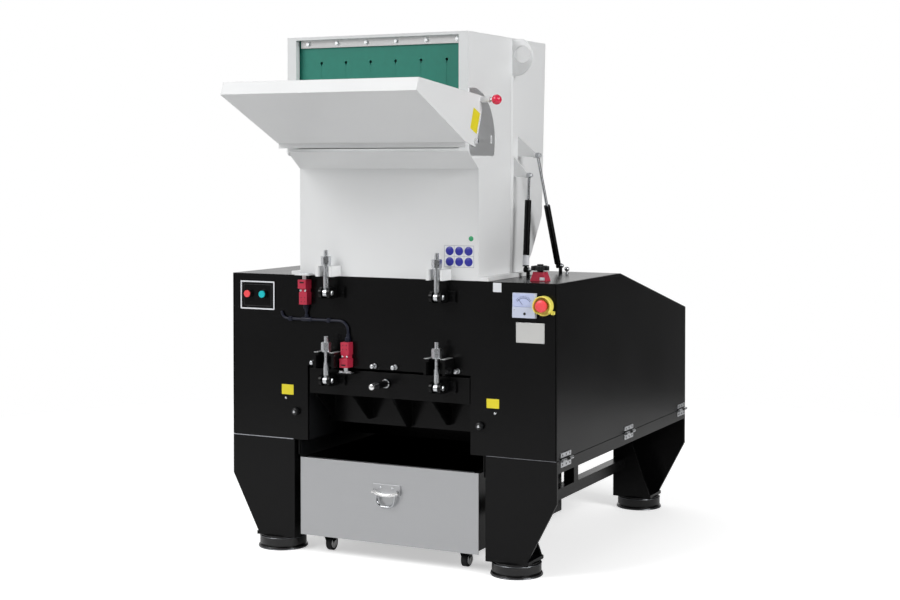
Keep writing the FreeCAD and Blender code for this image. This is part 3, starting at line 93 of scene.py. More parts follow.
# %% [markdown]
# ## Colours and node helpers
# Colours are written as they would be picked on a screen, and one function turns them to the
# linear values that the shaders add up. One more function adds any node with its settings and
# links, so that each finish below reads as a short recipe.


# %% Colours and nodes
def linear(hex_colour):
    """An sRGB hex colour as linear red, green, blue and full alpha."""
    channels = np.array([int(hex_colour[i:i + 2], 16) for i in (1, 3, 5)]) / 255
    bright = ((channels + 0.055) / 1.055) ** 2.4
    return (*np.where(channels <= 0.04045, channels / 12.92, bright).tolist(), 1.0)


def add_node(owner, kind, settings=None, links=None, **values):
    """Adds a node: settings are its properties, values its sockets, links feed its sockets."""
    node = owner.node_tree.nodes.new("ShaderNode" + kind)
    for name, value in (settings or {}).items():
        setattr(node, name, value)
    for name, value in values.items():
        node.inputs[name.replace("_", " ")].default_value = value
    for name, source in (links or {}).items():
        owner.node_tree.links.new(source, node.inputs[name])
    return node


def finish_of(name, colour, roughness, metallic=0.0, specular=0.5):
    """A material with its shader, and the object coordinates that its patterns read."""
    material = bpy.data.materials.new(name)
    material.use_nodes = True
    shader = material.node_tree.nodes["Principled BSDF"]
    shader.inputs["Base Color"].default_value = linear(colour)
    shader.inputs["Roughness"].default_value = roughness
    shader.inputs["Metallic"].default_value = metallic
    shader.inputs["Specular IOR Level"].default_value = specular
    where = add_node(material, "TexCoord").outputs["Object"]
    return material, shader, where


def feed(material, shader, **sources):
    """Links outputs to the shader's sockets."""
    for name, source in sources.items():
        material.node_tree.links.new(source, shader.inputs[name.replace("_", " ")])


def two_tones(material, factor, colour, shade):
    """A colour that wanders between two close tones."""
    tone = add_node(material, "Mix", {"data_type": "RGBA"}, {"Factor": factor})
    tone.inputs[6].default_value = linear(colour)
    tone.inputs[7].default_value = linear(shade)
    return tone.outputs[2]


# %% [markdown]
# ## Powder coat
# Powder coat is plastic dust baked onto sheet steel. It flows into a skin with faint ripples,
# which the eye reads as orange peel in the reflections. The ripples are 2 to 3 mm apart on the
# real sheet, too fine to show from here, so they are drawn about five times coarser and kept
# very shallow. A second, broad wave stands for how thin sheet is never quite flat. The coat
# rounds every edge by about a millimetre, and a bevel normal gives the edges that soft glint.


# %% Powder coat
def powder_coat(name, colour, shade, roughness, specular, ripple_mm, depth_mm, edge_mm):
    """Coated sheet steel: two close tones, ripples, broad waves and softly rounded edges."""
    material, shader, where = finish_of(name, colour, roughness, specular=specular)
    cloud = add_node(material, "TexNoise", links={"Vector": where}, Scale=3.0, Detail=3.0)
    edge = add_node(material, "Bevel", {"samples": 4}, Radius=edge_mm * MM)
    sheet = add_node(material, "TexNoise", links={"Vector": where}, Scale=2.2, Detail=0.0)
    wave = add_node(material, "Bump", links={"Height": sheet.outputs["Fac"],
                                             "Normal": edge.outputs["Normal"]},
                    Strength=0.6, Distance=1.5 * MM)
    peel = add_node(material, "TexNoise", links={"Vector": where}, Scale=1000 / ripple_mm,
                    Detail=2.0)
    skin = add_node(material, "Bump", links={"Height": peel.outputs["Fac"],
                                             "Normal": wave.outputs["Normal"]},
                    Strength=0.5, Distance=depth_mm * MM)
    dull = add_node(material, "MapRange", links={"Value": cloud.outputs["Fac"]},
                    To_Min=roughness * 0.85, To_Max=roughness * 1.2)
    feed(material, shader, Base_Color=two_tones(material, cloud.outputs["Fac"], colour, shade),
         Normal=skin.outputs["Normal"], Roughness=dull.outputs["Result"])
    return material


hopper_coat = powder_coat("white_powder_coat", "#E4E5E5", "#DDDEDF", roughness=0.38,
                          specular=0.4, ripple_mm=14, depth_mm=0.02, edge_mm=1.2)
cabinet_coat = powder_coat("black_powder_coat", "#090909", "#0D0D0E", roughness=0.24,
                           specular=0.16, ripple_mm=14, depth_mm=0.012, edge_mm=1.5)
print("two powder coats")

# %% [markdown]
# ## Bare and plated steel
# The bin's front is brushed stainless sheet: a belt has left fine lines that run level, and the
# highlight stretches across them. The bolts are zinc plated, which is brighter and blotchy. The
# quadrant is ground plate, duller than the bin, and the strip over the curtain is polished. The
# struts' rods are hard chrome, and the pads' rims are dark rolled steel. The brushed lines are a
# few tenths of a millimetre apart on real sheet, so they are drawn about ten times coarser.


# %% Metals
def brushed(name, colour, roughness, line_mm, run_mm, strength=0.25):
    """Belt-brushed steel: noise squeezed up and down and stretched along the brushing."""
    material, shader, where = finish_of(name, colour, roughness, metallic=1.0)
    stretch = add_node(material, "Mapping", links={"Vector": where},
                       Scale=(1000 / run_mm, 1000 / run_mm, 1000 / line_mm))
    lines = add_node(material, "TexNoise", links={"Vector": stretch.outputs["Vector"]},
                     Scale=1.0, Detail=4.0)
    dull = add_node(material, "MapRange", links={"Value": lines.outputs["Fac"]},
                    To_Min=roughness * 0.8, To_Max=roughness * 1.25)
    edge = add_node(material, "Bevel", {"samples": 4}, Radius=1.0 * MM)
    grooves = add_node(material, "Bump", links={"Height": lines.outputs["Fac"],
                                                "Normal": edge.outputs["Normal"]},
                       Strength=strength, Distance=0.05 * MM)
    feed(material, shader, Roughness=dull.outputs["Result"], Normal=grooves.outputs["Normal"])
    return material


def plated(name, colour, roughness):
    """Zinc or chrome plate: the crystals' faint patches change how sharply it shines."""
    material, shader, where = finish_of(name, colour, roughness, metallic=1.0)
    patches = add_node(material, "TexNoise", links={"Vector": where}, Scale=180.0, Detail=3.0)
    dull = add_node(material, "MapRange", links={"Value": patches.outputs["Fac"]},
                    To_Min=roughness * 0.7, To_Max=roughness * 1.4)
    edge = add_node(material, "Bevel", {"samples": 4}, Radius=0.8 * MM)
    feed(material, shader, Roughness=dull.outputs["Result"], Normal=edge.outputs["Normal"])
    return material


stainless = brushed("brushed_stainless", "#B9BABC", roughness=0.42, line_mm=2.5, run_mm=220)
ground_plate = brushed("ground_steel_plate", "#F1F2F3", roughness=0.5, line_mm=2.5, run_mm=90)
polished_strip = brushed("polished_stainless_strip", "#EDEDED", roughness=0.24, line_mm=1.5,
                         run_mm=300, strength=0.1)
pad_steel = plated("dark_rolled_steel", "#6E7073", roughness=0.3)
zinc_plate = plated("zinc_plated_steel", "#D4D6D9", roughness=0.28)
bright_zinc = plated("bright_zinc_plated_steel", "#F4F5F6", roughness=0.45)
chrome = plated("chromed_steel", "#B4B6B9", roughness=0.16)
print("seven metals")

# %% [markdown]
# ## Rubber, plastic and printed film
# The pads, casters and the slit curtain are rubber: dull, with a fine grain from the mould. The
# buttons, the switches and the knobs are moulded plastic, smooth with a soft shine. The plates
# and signs are printed film, flat and a little glossy.


# %% Rubber, plastic and film
def moulded(name, colour, shade, roughness, grain_mm, depth_mm, specular=0.5):
    """A moulded skin: two close tones and a grain of the given size and depth."""
    material, shader, where = finish_of(name, colour, roughness, specular=specular)
    grain = add_node(material, "TexNoise", links={"Vector": where}, Scale=1000 / grain_mm,
                     Detail=2.0)
    edge = add_node(material, "Bevel", {"samples": 4}, Radius=1.0 * MM)
    skin = add_node(material, "Bump", links={"Height": grain.outputs["Fac"],
                                             "Normal": edge.outputs["Normal"]},
                    Strength=0.4, Distance=depth_mm * MM)
    feed(material, shader, Base_Color=two_tones(material, grain.outputs["Fac"], colour, shade),
         Normal=skin.outputs["Normal"])
    return material


# Each has two tones, a roughness, the grain's size and depth in mm, and at times a specular.
pad_rubber = moulded("black_pad_rubber", "#0B0B0C", "#101011", 0.24, 6, 0.04, 0.5)
tyre_rubber = moulded("black_tyre_rubber", "#0F1011", "#151618", 0.45, 6, 0.1, 0.35)
curtain_rubber = moulded("green_curtain_rubber", "#13806E", "#0F7464", 0.5, 20, 0.1)
switch_plastic = moulded("crimson_abs_plastic", "#C2304A", "#B22840", 0.36, 5, 0.03)
button_plastic = moulded("signal_red_abs_plastic", "#FA555A", "#F04C52", 0.34, 5, 0.03)
knob_plastic = moulded("red_phenolic_ball", "#DB2C4C", "#D12645", 0.2, 5, 0.01)
teal_plastic = moulded("teal_abs_plastic", "#12C6CC", "#0EBBC1", 0.32, 5, 0.03)
black_plastic = moulded("black_nylon", "#0F1011", "#141517", 0.4, 5, 0.05, 0.35)
yellow_plastic = moulded("yellow_abs_plastic", "#F5E970", "#EDE062", 0.38, 5, 0.03)
meter_plastic = moulded("pale_grey_abs_plastic", "#CDD3E6", "#C7CDE0", 0.3, 8, 0.02)
cable_jacket = moulded("navy_cable_jacket", "#15182A", "#111422", 0.4, 5, 0.02, 0.3)
hub_plastic = moulded("white_polypropylene_hub", "#F2F2F2", "#EAEAEA", 0.45, 6, 0.05)
cast_iron = moulded("painted_cast_iron", "#121315", "#17181A", 0.55, 10, 0.3, 0.3)
white_film = moulded("white_printed_film", "#E4E6EA", "#DDDFE4", 0.35, 12, 0.01)
yellow_film = moulded("yellow_printed_film", "#E9DA2E", "#E2D224", 0.35, 12, 0.01)
blue_film = moulded("blue_printed_film", "#2A2C9C", "#252791", 0.35, 12, 0.01)
green_film = moulded("green_printed_film", "#2FA06A", "#2A9661", 0.35, 12, 0.01)
grey_film = moulded("grey_printed_film", "#A9ABB2", "#A3A5AC", 0.35, 12, 0.01)
dial_film = moulded("pale_blue_dial_film", "#C3CCEE", "#BDC6E8", 0.3, 12, 0.01)
print("rubber, plastic and film are mixed")

# %% [markdown]
# ## Dressing the solids
# Each finish goes to the solids that have it on the real machine.

# %% Finishes on the solids
DRESS = {
    hopper_coat: ["hopper_sides", "hopper_front", "hopper_mouth_frame", "hopper_roof",
                  "hopper_back", "hopper_flange", "hopper_lugs", "hopper_side_fittings",
                  "feed_tray_floor", "feed_tray_sides", "hopper_hinge_arms"],
    cabinet_coat: ["chamber_front_plate", "top_deck", "rear_cover", "right_housing",
                   "left_housing", "cabinet_frame", "legs", "side_stretchers",
                   "right_side_door", "left_side_door", "front_plate_fittings",
                   "screen_cradle", "cradle_fittings", "deck_brackets", "control_panel",
                   "lift_strut_tubes", "damper_strut_tubes", "bin_body",
                   "right_caster_fork", "left_caster_fork", "rear_caster_forks"],
    cast_iron: ["chamber_walls", "rotor", "cradle_hinge_pins"],
    ground_plate: ["quadrant_plates"],
    polished_strip: ["curtain_clamp_strip"],
    stainless: ["bin_front"],
    zinc_plate: ["upper_right_swing_bolt", "upper_left_swing_bolt", "lower_right_swing_bolt",
                 "lower_left_swing_bolt", "door_hinge_rails"],
    chrome: ["lift_strut_rods", "damper_strut_rods", "bin_drop_handle"],
    pad_rubber: ["anti_vibration_pads"],
    tyre_rubber: ["right_caster_wheel", "left_caster_wheel", "rear_caster_wheels"],
    curtain_rubber: ["splash_curtain"],
    switch_plastic: ["safety_switches", "lock_block"],
    button_plastic: ["stop_button", "emergency_stop"],
    knob_plastic: ["tray_plunger"],
    teal_plastic: ["start_button"],
    black_plastic: ["lock_star_knob"],
    cable_jacket: ["switch_cable"],
    meter_plastic: ["panel_meter"],
}
for material, names in DRESS.items():
    for name in names:
        nodes[name].data.materials.clear()
        nodes[name].data.materials.append(material)
undressed = [name for name in nodes if not any(name in names for names in DRESS.values())]
print("solids without a finish:", undressed)

# %% [markdown]
# ## One way to make a surface
# Each new piece is a grid of points: a function of two parameters, worked out as whole arrays.
# It could be modelled by hand or cut from primitives, but a grid keeps its formula in sight and
# its faces even. Several grids may share one mesh, so that a row of screws is one piece.


# %% Grids into meshes
def piece_of(name, grids, body, finish, smooth_to=35):
    """One mesh from grids of rows x columns x 3, whose columns close on themselves.

    Each point joins its neighbours in the next row and column, and points that fall together
    at a pole are merged.
    """
    points, faces, count = [], [], 0
    for grid in grids:
        rows, columns = grid.shape[:2]
        row, column = np.meshgrid(np.arange(rows - 1), np.arange(columns), indexing="ij")
        beside = (column + 1) % columns
        quads = np.stack([row * columns + column, row * columns + beside,
                          (row + 1) * columns + beside, (row + 1) * columns + column], axis=-1)
        faces.append(quads.reshape(-1, 4) + count)
        points.append(grid.reshape(-1, 3))
        count += rows * columns
    mesh = bpy.data.meshes.new(name)
    mesh.from_pydata(np.concatenate(points).tolist(), [], np.concatenate(faces).tolist())
    merged = bmesh.new()
    merged.from_mesh(mesh)
    bmesh.ops.remove_doubles(merged, verts=merged.verts, dist=2e-6)
    bmesh.ops.dissolve_degenerate(merged, edges=merged.edges, dist=1e-6)
    merged.to_mesh(mesh)
    merged.free()
    mesh.shade_smooth()
    mesh.set_sharp_from_angle(angle=math.radians(smooth_to))
    mesh.materials.append(finish)
    piece = bpy.data.objects.new(name, mesh)
    bpy.context.scene.collection.objects.link(piece)
    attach(piece, body)
    return piece


print("grids can be made into pieces")

# %% [markdown]
# ## The lathe
# Most small parts of a machine are turned: screws, nuts, knobs, sleeves and rims. A lathe needs
# a profile and an axis. The axis is named by the way it points: forwards, up, down or sideways.

# %% The lathe
AXES = {"-Y": [[1, 0, 0], [0, 0, 1], [0, -1, 0]], "+Z": [[1, 0, 0], [0, 1, 0], [0, 0, 1]],
        "+X": [[0, 1, 0], [0, 0, 1], [1, 0, 0]], "-X": [[0, -1, 0], [0, 0, 1], [-1, 0, 0]],
        "-Z": [[1, 0, 0], [0, -1, 0], [0, 0, -1]]}


def axes_of(axis):
    """The three directions of a piece: across, up its face, and out along its axis."""
    return np.array(AXES[axis] if isinstance(axis, str) else axis, float)


def turned(centre, axis, profile, around=28, start=0.0):
    """Points of a lathe's surface: each profile pair is a radius and a height in mm.

    A point is the centre plus radius times (cos t, sin t) across the axis plus the height along
    it. Six steps around give a hexagon, such as a bolt's head.
    """
    radius, height = np.array(profile, float).T * MM
    angle = np.linspace(0, 2 * np.pi, around, endpoint=False) + start
    local = np.stack([np.outer(radius, np.cos(angle)), np.outer(radius, np.sin(angle)),
                      np.repeat(height[:, None], around, 1)], axis=-1)
    return np.array(centre) + local @ axes_of(axis)


print("profiles can be turned about", len(AXES), "axes")

# %% [markdown]
# ## Plates and frames
# The rest is cut from sheet: labels, hinge leaves, borders. Such a piece is one rounded outline
# that is lifted off the face and drawn in, which gives it an eased edge for the light to catch.

# %% Plates and frames
OUTLINE_STEPS = 40


def rounded_outline(width, height, corner):
    """Points of a rounded rectangle in mm: a circle pushed out to the four corner centres."""
    angle = np.linspace(0, 2 * np.pi, OUTLINE_STEPS, endpoint=False) + np.pi / OUTLINE_STEPS
    x = np.sign(np.cos(angle)) * (width / 2 - corner) + corner * np.cos(angle)
    y = np.sign(np.sin(angle)) * (height / 2 - corner) + corner * np.sin(angle)
    return np.stack([x, y], axis=-1)


def stacked(centre, axis, outlines):
    """Points of outlines that lie at their heights over a face, all in mm."""
    local = [np.insert(outline, 2, height, axis=1) for outline, height in outlines]
    return np.array(centre) + np.array(local) * MM @ axes_of(axis)


def plate(centre, axis, width, height, thick, corner=3.0, edge=0.3):
    """Points of a flat plate with rounded corners and an eased edge, sizes in mm.

    The outline rises from the face, is drawn in by the edge at the top, and closes on its middle
    below and above.
    """
    full = rounded_outline(width, height, corner)
    top = rounded_outline(width - 2 * edge, height - 2 * edge, corner - edge)
    return stacked(centre, axis, [(0 * full, 0), (full, 0), (full, thick - edge), (top, thick),
                                  (0 * full, thick)])


def border(centre, axis, width, height, band, thick, corner=4.0):
    """Points of a flat frame: a rounded outline outside, and the same drawn in by the band."""
    outer = rounded_outline(width, height, corner)
    inner = rounded_outline(width - 2 * band, height - 2 * band, max(corner - band, 0.5))
    return stacked(centre, axis, [(outer, 0), (outer, thick), (inner, thick), (inner, 0),
                                  (outer, 0)])


print("plates and frames can be cut")

# %% [markdown]
# ## The commonest pieces
# Zinc fittings, black plastic and pale faces come back again and again, so each kind has a
# function of its own.


# %% Zinc, black plastic and faces
def zinc_piece(name, grids, body="machine", smooth_to=35):
    """Bolts, screws and fittings of zinc-plated steel."""
    return piece_of(name, grids, body, zinc_plate, smooth_to)


def black_piece(name, grids, body="machine"):
    """Knobs and rings of black plastic, and black marks of painted shade in screws and key
    openings.
    """
    return piece_of(name, grids, body, black_plastic)


def face_piece(name, grids, finish, body="machine"):
    """Faces and labels of film, paper or pale plastic."""
    return piece_of(name, grids, body, finish)


print("three kinds of piece have names")

# %% [markdown]
# ## Studs and knobs on the front plate
# Between the swing bolts the ends of the chamber's tie rods show: a washer on the plate, a bare
# stretch of stud and a bright domed nut. Two black hand knobs stand lower down near the legs.
# All of them are turned parts, so each is a profile spun on an axis that points at the viewer.

# %% Studs and knobs
STUD = [(0, 0), (8.5, 0), (8.5, 3), (7.5, 4), (4.5, 4), (4.5, 13), (7, 13.5), (8, 15),
        (8, 20), (6.4, 22.8), (3.4, 24), (0, 24.3)]
KNOB = [(0, 0), (9, 0), (9, 3), (12, 4), (13.2, 6), (13.2, 11), (11.5, 15), (7, 17.5), (0, 18.2)]
KNOB_SCREW = [(0, 0), (4.6, 0), (4.6, 1.0), (3.4, 2.2), (0, 2.6)]
STUD_Z, KNOB_Z = 661, 487
KNOB_PLACES = (-356, 347)
studs = [turned(place(x, 0, STUD_Z), "-Y", STUD) for x in (-284, -47, 32, 265)]
zinc_piece("tie_rod_studs", studs)
knobs = [turned(place(x, 0, KNOB_Z), "-Y", KNOB) for x in KNOB_PLACES]
black_piece("front_hand_knobs", knobs)
zinc_piece("front_knob_screws", [turned(place(x, -17.8, KNOB_Z), "-Y", KNOB_SCREW, 20)
                                 for x in KNOB_PLACES])
print(len(studs), "studs and", len(knobs), "knobs")

# %% [markdown]
# ## Bolts that hold the clamps' pins
# Each swing bolt turns on a pin, and the pin is a bolt whose zinc head shows on the clevis. A
# head is a lathe's profile with only six steps around.

# %% Clevis bolts
BOLT_X = 210
CHEEK_OUTER = 21
PIN_DEPTH = -45
PIN_HEAD = [(0, 0), (8.8, 0), (8.8, 4.4), (7.6, 5.4), (0, 5.4)]
for name, body, z in (("upper_clevis_bolts", "machine", 905),
                      ("lower_clevis_bolts", "cradle", 608)):
    heads = []
    for middle in (-BOLT_X, BOLT_X):
        heads.append(turned(place(middle + CHEEK_OUTER, PIN_DEPTH, z), "+X", PIN_HEAD, 6))
        heads.append(turned(place(middle - CHEEK_OUTER, PIN_DEPTH, z), "-X", PIN_HEAD, 6))
    zinc_piece(name, heads, body, 20)
print("eight clevis bolt heads")

# %% [markdown]
# ## The cradle's handle
# A black grip sticks out of the cradle's bar. It has a bright collar where it is screwed on,
# and a polished domed cap over its end: a painted highlight for the white reflection there.

# %% Handle collar and cap
COLLAR = [(11.3, 0), (15.4, 0), (15.4, 3), (13.5, 5), (11.3, 5), (11.3, 0)]
CAP = [(0, 0.5), (11.2, 0), (11.7, 0), (11.7, 30), (11.2, 34), (9, 37), (5, 38.6), (0, 39)]
# The polished cap is a painted highlight on the grip's end.
for name, profile, depth, finish in (("peg_handle_collar", COLLAR, -3, chrome),
                                     ("peg_handle_highlight_cap", CAP, -64, polished_strip)):
    piece_of(name, [turned(place(-4, depth, 604), "-Y", profile)], "cradle", finish)
print("a chromed collar and a polished cap")

# %% [markdown]
# ## Button panel
# The two push buttons sit on a black plate with a thin pale border and a fainter line inside
# it. Each button has a black bezel, a ring with a chamfered front, spun from a closed profile.

# %% Button panel trim
PANEL_WIDTH, PANEL_HEIGHT = 140, 99
PANEL_FRONT = -3
PANEL_MIDDLE = place(-513, PANEL_FRONT, 883.5)
BUTTON_PLACES, BUTTON_Z = (-549, -488), 888
grey_line = moulded("dark_grey_printed_film", "#3A3A3C", "#353537", 0.4, 12, 0.01)
face_piece("panel_border", [border(PANEL_MIDDLE, "-Y", PANEL_WIDTH, PANEL_HEIGHT, 4.8, 0.9, 2.5)],
           white_film)
piece_of("panel_inner_line", [border(PANEL_MIDDLE, "-Y", PANEL_WIDTH - 27, PANEL_HEIGHT - 24, 1.0,
                                     0.3, 1.5)], "machine", grey_line)
BEZEL = [(13.4, 0), (15.6, 0), (15.6, 6), (14.4, 8), (13.4, 8), (13.4, 0)]
bezels = [turned(place(x, PANEL_FRONT, BUTTON_Z), "-Y", BEZEL, 40) for x in BUTTON_PLACES]
black_piece("button_bezels", bezels)
print("a border and", len(bezels), "bezels")

# %% [markdown]
# ## A thin arc
# The meter's scale is an arc. It could be painted on, but a box section a third of a millimetre
# thick, carried round a circle, stays sharp at any distance.


# %% Arcs
def arc_line(centre, axis, radius, first, last, width, thick):
    """Points of a thin printed arc: a small box section swept from one angle to another.

    The sweep's first and last sections are shrunk to a point, which closes the ends.
    """
    angle = np.radians(np.concatenate([[first], np.linspace(first, last, 25), [last]]))
    side = np.array([(-1, 0), (1, 0), (1, 1), (-1, 1)], float)[::-1]
    reach = radius + side[:, 0] * width / 2
    closed = np.ones((len(angle), 1))
    closed[[0, -1]] = 0
    reach = radius + (reach - radius) * closed
    rise = side[:, 1] * thick * closed
    local = np.stack([reach * np.cos(angle)[:, None], reach * np.sin(angle)[:, None], rise],
                     axis=-1) * MM
    return np.array(centre) + local @ axes_of(axis)


print("arcs can be swept")

# %% [markdown]
# ## The meter
# A square moving-needle meter: a window over a printed arc, a plain cover below it with the
# black zero screw, and two small case screws. The arc, its marks and the needle are thin raised
# shapes in dark film, and the marks carry no figures.

# %% Meter
METER_X, METER_FRONT = 507, -14
COVER_THICK = 3
slate_film = moulded("slate_blue_printed_film", "#46507E", "#404A76", 0.4, 12, 0.01)
DIAL = place(METER_X, METER_FRONT, 884)
face_piece("meter_window", [plate(place(METER_X, METER_FRONT, 904), "-Y", 74, 42, 0.8, 2)],
           dial_film)
face_piece("meter_cover", [plate(place(METER_X, METER_FRONT, 864.5), "-Y", 79, 34, COVER_THICK,
                                 2)], meter_plastic)


def over_dial(lift):
    """The dial's centre, lifted off its face by a distance in mm."""
    return DIAL + np.array([0, -lift * MM, 0])


def dial_bar(degrees, reach, length, lift):
    """Points of a thin bar that points away from the dial's centre, sizes in mm."""
    turn = math.radians(degrees)
    along = np.array([math.cos(turn), 0, math.sin(turn)])
    beside = np.array([math.sin(turn), 0, -math.cos(turn)])
    axes = np.array([beside, along, [0, -1, 0]])
    return plate(over_dial(lift) + along * reach * MM, axes, 1.2, length, 0.3, 0.2, 0.05)


marks = [arc_line(over_dial(0.9), "-Y", radius=27, first=35, last=145, width=1.4, thick=0.3)]
marks += [dial_bar(degrees, 31.5, 5.5, 0.9) for degrees in np.linspace(40, 140, 11)]
marks.append(dial_bar(128, 18, 22, 1.3))
piece_of("meter_scale", marks, "machine", slate_film)
ZERO_SCREW = [(0, 0), (4.4, 0), (4.4, 0.9), (3.4, 1.6), (0, 1.7)]
CASE_SCREW = [(0, 0), (2.2, 0), (2.2, 0.6), (1.4, 1.1), (0, 1.2)]
COVER_FRONT = METER_FRONT - COVER_THICK
black_piece("meter_zero_screw", [turned(place(METER_X + 4, COVER_FRONT, 861), "-Y", ZERO_SCREW)])
zinc_piece("meter_case_screws", [turned(place(METER_X + dx, COVER_FRONT, 873), "-Y", CASE_SCREW)
                                 for dx in (-33, 33)])
print("a meter with", len(marks) - 2, "marks")

# %% [markdown]
# ## The emergency stop and its guard
# The red mushroom head stands low on its collar, so a shorter head with a softer dome takes the
# place of the solid one. A yellow guard stands round it so that nobody leans on it: a cup with a
# floor and a thick rolled rim, cut low at its underside, where two small tabs carry its screws.
# The cut is made in the profile's height: it sinks over the lowest part of the turn.

# %% Emergency stop and guard
STOP_X, STOP_Z = 571, 888
MUSHROOM = [(0, 4.6), (10.8, 4.6), (10.8, 13.5), (17.5, 13.5), (19.6, 15), (20, 18), (20, 24),
            (19.2, 27), (16.5, 29), (11, 30.2), (0, 31)]
stop_head = piece_of("emergency_stop_head", [turned(place(STOP_X, 0, STOP_Z), "-Y", MUSHROOM, 48)],
                     "estop_push", button_plastic)
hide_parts("emergency_stop")
GUARD_X = 573
GUARD_DEPTH = 27 * MM
GUARD = [(15.6, 0.2), (32, 0.2), (32.4, 20), (32, 25), (30.8, 27), (29.2, 27), (28, 25),
         (27.4, 19), (27.4, 6), (15.6, 6), (15.6, 0.2)]
cup = turned((0, 0, 0), "-Y", GUARD, 72)
low_side = np.clip((-cup[..., 2] / np.hypot(cup[..., 0], cup[..., 2]) - 0.62) / 0.2, 0, 1)
cut = low_side * low_side * (3 - 2 * low_side)
cup[..., 1] = -np.minimum(-cup[..., 1], GUARD_DEPTH - 17 * MM * cut)
face_piece("stop_guard", [cup + place(GUARD_X, 0, STOP_Z)], yellow_plastic)
tabs = [plate(place(GUARD_X + dx, 0, 866), "-Y", 14, 12, 5, 3, 1.0) for dx in (-30, 30)]
face_piece("stop_guard_tabs", tabs, yellow_plastic)
print("a guard", round(GUARD_DEPTH / MM), "mm deep")

# %% [markdown]
# ## Bare plates
# A machine like this carries plates in fixed places, and all of them are bare here: a rating
# plate of brushed aluminium with its rivets, a small film plate under the deck's edge and a
# yellow one near each front leg. The films are about half a millimetre thick.

# %% Bare plates
RATING_X, RATING_Z, RATING_WIDTH, RATING_HEIGHT = 523.7, 798.5, 99.5, 65
RIVET = [(0, 0), (1.9, 0), (1.5, 0.8), (0, 1.1)]
aluminium_plate = brushed("brushed_aluminium_plate", "#DCDCDA", roughness=0.45, line_mm=1.5,
                          run_mm=60)
piece_of("rating_plate", [plate(place(RATING_X, 0, RATING_Z), "-Y", RATING_WIDTH, RATING_HEIGHT,
                                1.0, 2)], "machine", aluminium_plate)
zinc_piece("rating_plate_rivets", [
    turned(place(RATING_X + dx, -1.0, RATING_Z + dz), "-Y", RIVET, 16)
    for dx in (-45.5, 45.5) for dz in (-28.5, 28.5)])
face_piece("corner_plate", [plate(place(407, 0, 941), "-Y", 30, 30, 0.6, 1.5)], white_film)
face_piece("front_yellow_plates", [plate(place(-392, 0, 560.5), "-Y", 48, 35, 0.5, 1.5),
                                   plate(place(391.5, 0, 562.5), "-Y", 45, 31, 0.5, 1.5)],
           yellow_film)
DOME_SCREW = [(0, 0), (4.2, 0), (4.2, 0.8), (3.4, 2.0), (1.8, 2.7), (0, 2.9)]
zinc_piece("front_plate_screws", [turned(place(x, 0, 531), "-Y", DOME_SCREW)
                                  for x in (-399, 399)])
print("plates are on, all bare")

# %% [markdown]
# ## The hopper's sign and the tray's plate
# A white film with a grey line grid carries six plain blue discs, and a green dot sits above it.
# The lines and discs are a few tenths of a millimetre thick, so that they never flicker against
# the white below them. A yellow plate leans with the tray, so its axes are given one by one.

# %% Sign, dot and tray plate
SIGN_X, SIGN_Z, SIGN_WIDTH, SIGN_HEIGHT = 269.8, 1038.3, 109, 73
LINE_WIDTH, LINE_THICK = 1.3, 0.3
face_piece("hopper_sign", [plate(place(SIGN_X, 0, SIGN_Z), "-Y", SIGN_WIDTH, SIGN_HEIGHT, 0.6,
                                 1.5)], white_film, "hopper")
lines = [border(place(SIGN_X, -0.4, SIGN_Z), "-Y", SIGN_WIDTH - 1, SIGN_HEIGHT - 1, 1.5, 0.4, 1.5),
         plate(place(SIGN_X, -0.5, SIGN_Z), "-Y", SIGN_WIDTH - 2, LINE_WIDTH, LINE_THICK, 0.3,
               0.1)]
lines += [plate(place(SIGN_X + dx, -0.52, SIGN_Z), "-Y", LINE_WIDTH, SIGN_HEIGHT - 2, LINE_THICK,
                0.3, 0.1) for dx in (-18, 18)]
face_piece("hopper_sign_lines", lines, grey_film, "hopper")
DISC = [(0, 0), (14.6, 0), (14.6, 0.3), (14.4, 0.4), (0, 0.4)]
face_piece("hopper_sign_discs", [turned(place(SIGN_X + dx, -0.6, SIGN_Z + dz), "-Y", DISC, 40)
                                 for dx in (-34.5, 0, 34.5) for dz in (-17.5, 17.5)],
           blue_film, "hopper")
DOT = [(0, 0), (8.5, 0), (8.5, 0.3), (8.3, 0.4), (0, 0.4)]
piece_of("hopper_green_dot", [turned(place(313, 0, 1097), "-Y", DOT, 32)], "hopper",
         green_film)
TRAY_SIDE = 352.5
slant = np.array([[0, 0.93, -0.3676], [0, 0.3676, 0.93], [1, 0, 0]])
face_piece("tray_yellow_plate", [plate(place(TRAY_SIDE, -52.5, 1479.5), slant, 51, 72, 0.5, 2)],
           yellow_film, "tray")
print("a sign with six discs, a dot and a leaning plate")

# %% [markdown]
# ## Screws of the curtain's strip
# A steel strip clamps the rubber with six bolts. The heads are hexagons on washers.

# %% Strip bolts
HEX_HEAD = [(0, 0), (6.6, 0), (6.6, 4.2), (5.8, 5), (0, 5)]
STRIP_Z, STRIP_FRONT = 1745, -56
WASHER = [(0, 0), (8.5, 0), (8.5, 1.4), (0, 1.5)]
heads, washers = [], []
for x in np.linspace(-270, 291, 6):
    washers.append(turned(place(x, STRIP_FRONT, STRIP_Z), "-Y", WASHER))
    heads.append(turned(place(x, STRIP_FRONT - 1.5, STRIP_Z), "-Y", HEX_HEAD, 6, 0.3))
piece_of("strip_bolts", heads + washers, "hopper", bright_zinc, 20)
print(len(heads), "strip bolts")
